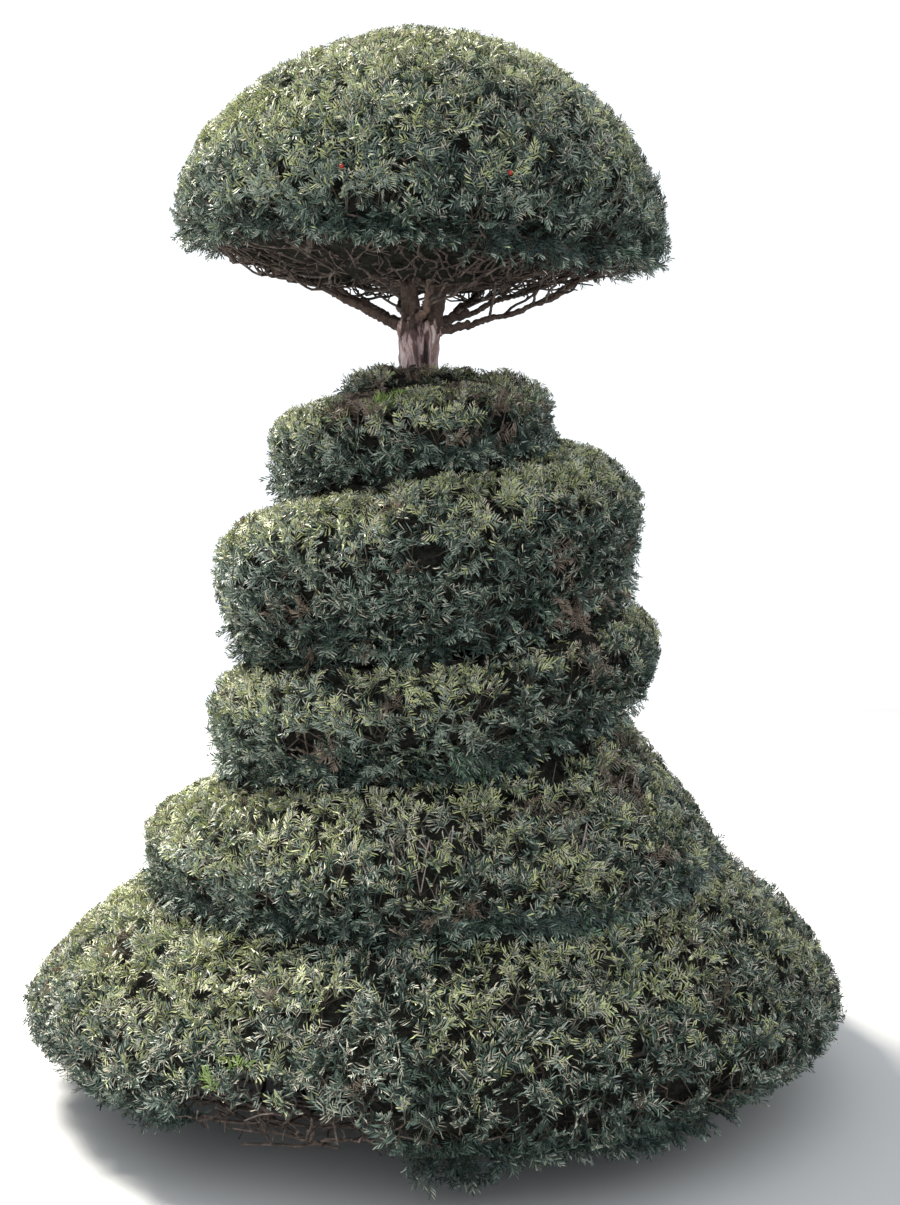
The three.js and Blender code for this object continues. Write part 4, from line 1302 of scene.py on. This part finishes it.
def trunk_feet(mass):
    """Places on the trunk inside a mass, at two heights."""
    turns = mass["start"] + (mass["end"] - mass["start"]) * np.array([0.15, 0.4, 0.65, 0.9])
    floor = floor_of(mass["number"], turns)[1] if mass["number"] else np.full(4, UNDERSIDE_Z)
    roof = roof_of(mass["number"], turns)[1]
    rows = []
    for share in (0.3, 0.75):
        z = mix(floor, roof, share)
        reach = np.interp(z, TRUNK_Z, TRUNK_RADIUS) * 0.7
        at = trunk_axis(z) + polar(TAU * turns, reach, 0)
        rows.append(np.concatenate([at, np.zeros((4, 1))], axis=1))
    return np.concatenate(rows)


def feet_of(mass, wood, thin):
    """Where the twigs of a mass leave the wood: points and their way from the trunk."""
    if mass["number"] == HEAD:
        return np.concatenate([limb_feet(line) for line in [*wood, *thin]])
    feet = [trunk_feet(mass)]
    for line in thin:
        feet.append(np.concatenate([line[4::2], np.full((len(line[4::2]), 1), 0.1)], axis=1))
    return np.concatenate(feet)


def curved(start, middle, end, rng):
    """A limb's line through three places, with a little wander."""
    share = np.linspace(0, 1, THIN_RINGS)[:, None]
    line = (1 - share) ** 2 * start + 2 * share * (1 - share) * middle + share**2 * end
    offset = rng.uniform(-5, 5, 3)
    return line + wander(line + offset, 0.09, 51) * 0.005 * np.sin(math.pi * share)


def second_limbs(wood, rng):
    """Thin limbs that leave the boughs and stems and sweep out to the rim of the head."""
    lines = []
    for name, line in wood.items():
        on_stem = name in STEMS
        shares = np.linspace(0.5, 0.98, 18) if on_stem else np.linspace(0.3, 0.88, 13)
        for share in shares:
            start = line[int(share * (len(line) - 1))]
            around = math.atan2(line[-1, 1], line[-1, 0]) + rng.normal(0, 1.6 if on_stem else 0.42)
            reach = rng.uniform(0.34, 0.47)
            depth = weave_depth(around)
            end = polar(around, reach, weave_z(reach) + rng.uniform(-0.2, 1) * depth)
            end = tilted(end[None])[0]
            middle = mix(start, end, 0.5)
            out = np.hypot(middle[0], middle[1])
            middle[2] = weave_z(out) + rng.uniform(-0.012, 0.2 * depth)
            middle[:2] += rng.normal(0, 0.03, 2)
            lines.append(curved(start, middle, end, rng))
    return lines


def low_limbs(rng):
    """Bare low branches close over the ground, under the front of the skirt."""
    lines = []
    for i, azimuth in enumerate(np.linspace(*LOW_LIMB_AZIMUTHS, LOW_LIMBS)):
        way = rng.uniform(0.14, 0.4) * (1 if i % 2 else -1)
        angle = math.radians(azimuth) + way * np.array([-1.2, -0.9, 1.0])
        reach = rng.uniform(0.56, 0.745)
        start = polar(angle[0], 0.3, 0.14)
        middle = polar(angle[1], reach, rng.uniform(0.055, 0.105))
        end = polar(angle[2], reach + rng.uniform(-0.04, 0.03), rng.uniform(0.08, 0.15))
        lines.append(curved(start, middle, end, rng))
    return lines


def limb_parts(lines, wide, narrow):
    """Skins of thin limbs."""
    radii = np.linspace(wide, narrow, THIN_RINGS)
    return [part_of(*ring_mesh(limb_rings(line, radii, THIN_SIDES))) for line in lines]


def comb_parts(number, sprays, rng):
    """Bare twigs that stand up out of a gap in the foliage, and their feet."""
    chance = near(number, sprays["at"], [(*place[:3], 1) for place in COMBS])
    rows = np.repeat(np.nonzero(chance > 0.3)[0], 2)
    if len(rows) == 0:
        return [], np.zeros((0, 3))
    count = len(rows)
    at = sprays["at"][rows] + rng.normal(0, 0.009, (count, 3))
    normal = sprays["normal"][rows]
    way = unit(normal * column(rng, (-0.1, 0.5), count) + rng.normal(0, 0.3, (count, 3)) + UP)
    start = at - normal * 0.028 - way * column(rng, (0.035, 0.06), count)
    depth = column(rng, (0.002, 0.02), count)
    end = at - normal * depth + way * column(rng, (-0.02, 0.01), count)
    wide = rng.uniform(0.0014, 0.0024, count)
    return [part_of(*tube_mesh(start, end, wide, wide * 0.6, 5), STUB_KIND)], start


def build_arils():
    """The ripe red arils that the photo shows on the head."""
    angle = np.linspace(math.pi - 0.25, 0.25, 6)[:, None]
    rings = polar(angles(8), ARIL_RADIUS * np.sin(angle), ARIL_RADIUS * np.cos(angle))
    points, faces, _ = joined([part_of(*ring_mesh(rings + place)) for place in ARILS])
    belong(add_mesh("arils_head", points, faces, [ARIL], soft=True))


def weave_tips(rng):
    """Tips of the bare wood under the head, fewer on the right."""
    angle = rng.uniform(0, TAU, WEAVE_TIPS)
    radius = mix(0.0, WEAVE_REACH, rng.random(WEAVE_TIPS) ** 0.6)
    keep = rng.random(WEAVE_TIPS) > 0.6 * smooth(0.7, 0.95, np.cos(angle))
    rise = mix(-0.008, weave_depth(angle), rng.random(WEAVE_TIPS))
    return tilted(polar(angle, radius, weave_z(radius) + rise))[keep & (radius > 0.06)]


def low_tips(rng):
    """Tips of the bare wood under the front of the skirt."""
    angle = np.radians(rng.uniform(*LOW_TIP_AZIMUTHS, LOW_TIPS))
    radius = rng.uniform(0.45, 0.76, LOW_TIPS)
    return polar(angle, radius, rng.uniform(0.08, 0.15, LOW_TIPS))


def bare_tips(mass, sprays, rng):
    """Tips of dead twigs: some all over, many in the brown places and under the edges."""
    chance = np.maximum(near(mass["number"], sprays["at"], DEAD), BARE_SHARE)
    rows = np.nonzero(chance > rng.random(len(chance)))[0]
    depth = column(rng, (-0.004, 0.03), len(rows))
    tips = [sprays["at"][rows] - sprays["normal"][rows] * depth]
    if mass["name"] == "head":
        tips.append(weave_tips(rng))
    if mass["name"] == "skirt_front":
        tips.append(low_tips(rng))
    return np.concatenate(tips)


def together(*sprays):
    """Groups of sprays put together as one."""
    return {key: np.concatenate([some[key] for some in sprays]) for key in sprays[0]}


def build_needles(mass, sprays, needles, rng):
    """The needles of a mass, clipped and tinted, which replace its solid."""
    tint_of = deal_tints(mass["number"], sprays, rng)
    needles, low = clip_needles(mass, needles, sprays)
    spray = needles[-1]
    tints = stray_tints(tint_of[spray], low, sprays["normal"][spray, 2], rng)
    points, faces, kinds = needle_mesh(needles, tints)
    piece = add_mesh(f"needles_{mass['name']}", points, faces, NEEDLES, kinds)
    belong(piece, (mass["name"],))


def shoot_parts(mass, shoots, sprays):
    """The shoots of a mass: side ones are strips, main ones are tubes with cut ends."""
    shoots, cut = clip_shoots(mass, shoots, sprays)
    main = shoots[2] > SHOOT_RADIUS
    strips = strip_mesh(*(row[~main] for row in shoots))
    points, faces = tube_mesh(*(row[main] for row in shoots), 3)
    ends = cut_ends(cut[main])
    kinds = np.repeat([SHOOT_KIND, CUT_KIND], [len(faces), len(ends)])
    return [part_of(*strips, SHOOT_KIND), (points, np.concatenate([faces, ends]), kinds)]


def build_twigs(mass, sprays, shoots, wood, thin, rng):
    """Twigs that grow from the wood to every spray and bare tip, and the sprays' shoots."""
    stub_parts, stub_feet = comb_parts(mass["number"], sprays, rng)
    roots = np.concatenate([sprays["root"], bare_tips(mass, sprays, rng), stub_feet])
    parts = twig_parts(*grow(feet_of(mass, wood, thin), roots, rng)) + stub_parts
    if thin:
        parts += limb_parts(thin, *THIN_LIMBS[mass["name"]])
    points, faces, kinds = joined(parts + shoot_parts(mass, shoots, sprays))
    belong(add_mesh(f"twigs_{mass['name']}", points, faces, TWIG_MATERIALS, kinds))


def build_mass(mass, wood, thin):
    """The needles, twigs and core of a mass."""
    rng = rng_for(mass["name"])
    sprays = rooted(mass, together(clipped_sprays(mass, rng), hanging_sprays(mass, rng)))
    needles, shoots = placed(KINDS, sprays)
    build_needles(mass, sprays, needles, rng)
    build_twigs(mass, sprays, shoots, wood, thin, rng)
    build_core(mass)


KINDS = [spray_kind(i, False) for i in range(SPRAY_KINDS)]
KINDS += [spray_kind(i, True) for i in range(LONG_KINDS)]

build_trunk()
wood = {name: limb_line(name, LIMB_RINGS) for name in STEMS}
wood |= {name: build_bough(name) for name in LIMBS if name not in STEMS}
thin_limbs = {
    "head": second_limbs(wood, rng_for("second limbs")),
    "skirt_front": low_limbs(rng_for("low limbs")),
}
build_arils()
for mass in all_masses():
    build_mass(mass, wood.values(), thin_limbs.get(mass["name"], []))


# Floor, light and camera

def build_stage():
    """A plain pale floor and an even sky."""
    corners = np.array([[-5, -6, 0], [5, -6, 0], [5, 4.5, 0], [-5, 4.5, 0]], float)
    material = new_material("floor", 0.9)
    shader_of(material).inputs["Base Color"].default_value = (0.48, 0.48, 0.48, 1)
    floor = add_mesh("floor", corners, np.array([[0, 1, 2, 3]]), [material])
    world = bpy.data.worlds.new("studio")
    bpy.context.scene.world = world
    world.use_nodes = True
    sky = world.node_tree.nodes["Background"]
    sky.inputs["Color"].default_value = (0.92, 0.96, 1.0, 1)
    sky.inputs["Strength"].default_value = 1.2


def add_light(name, at, target, size, power, colour):
    """A round soft light that faces a target."""
    data = bpy.data.lights.new(name, "AREA")
    data.shape = "DISK"
    data.size = size
    data.energy = power
    data.color = colour
    light = bpy.data.objects.new(name, data)
    light.location = at
    light.rotation_euler = (Vector(target) - Vector(at)).to_track_quat("-Z", "Y").to_euler()
    bpy.context.scene.collection.objects.link(light)


def add_camera():
    """A camera where the photo was taken, which dips a little."""
    data = bpy.data.cameras.new("camera")
    data.sensor_width = SENSOR
    data.lens = FOCAL_PIXELS / PHOTO_PIXELS * SENSOR
    camera = bpy.data.objects.new("camera", data)
    camera.location = CAMERA_AT
    camera.rotation_euler = (math.radians(90 - CAMERA_DIP_DEGREES), 0, 0)
    bpy.context.scene.collection.objects.link(camera)
    bpy.context.scene.camera = camera


build_stage()
add_light("key", (-2.9, 1.9, 4.9), (0, 0, 1.0), 1.8, 980, (1.0, 0.96, 0.88))
add_camera()
bpy.context.scene.view_settings.view_transform = "Standard"
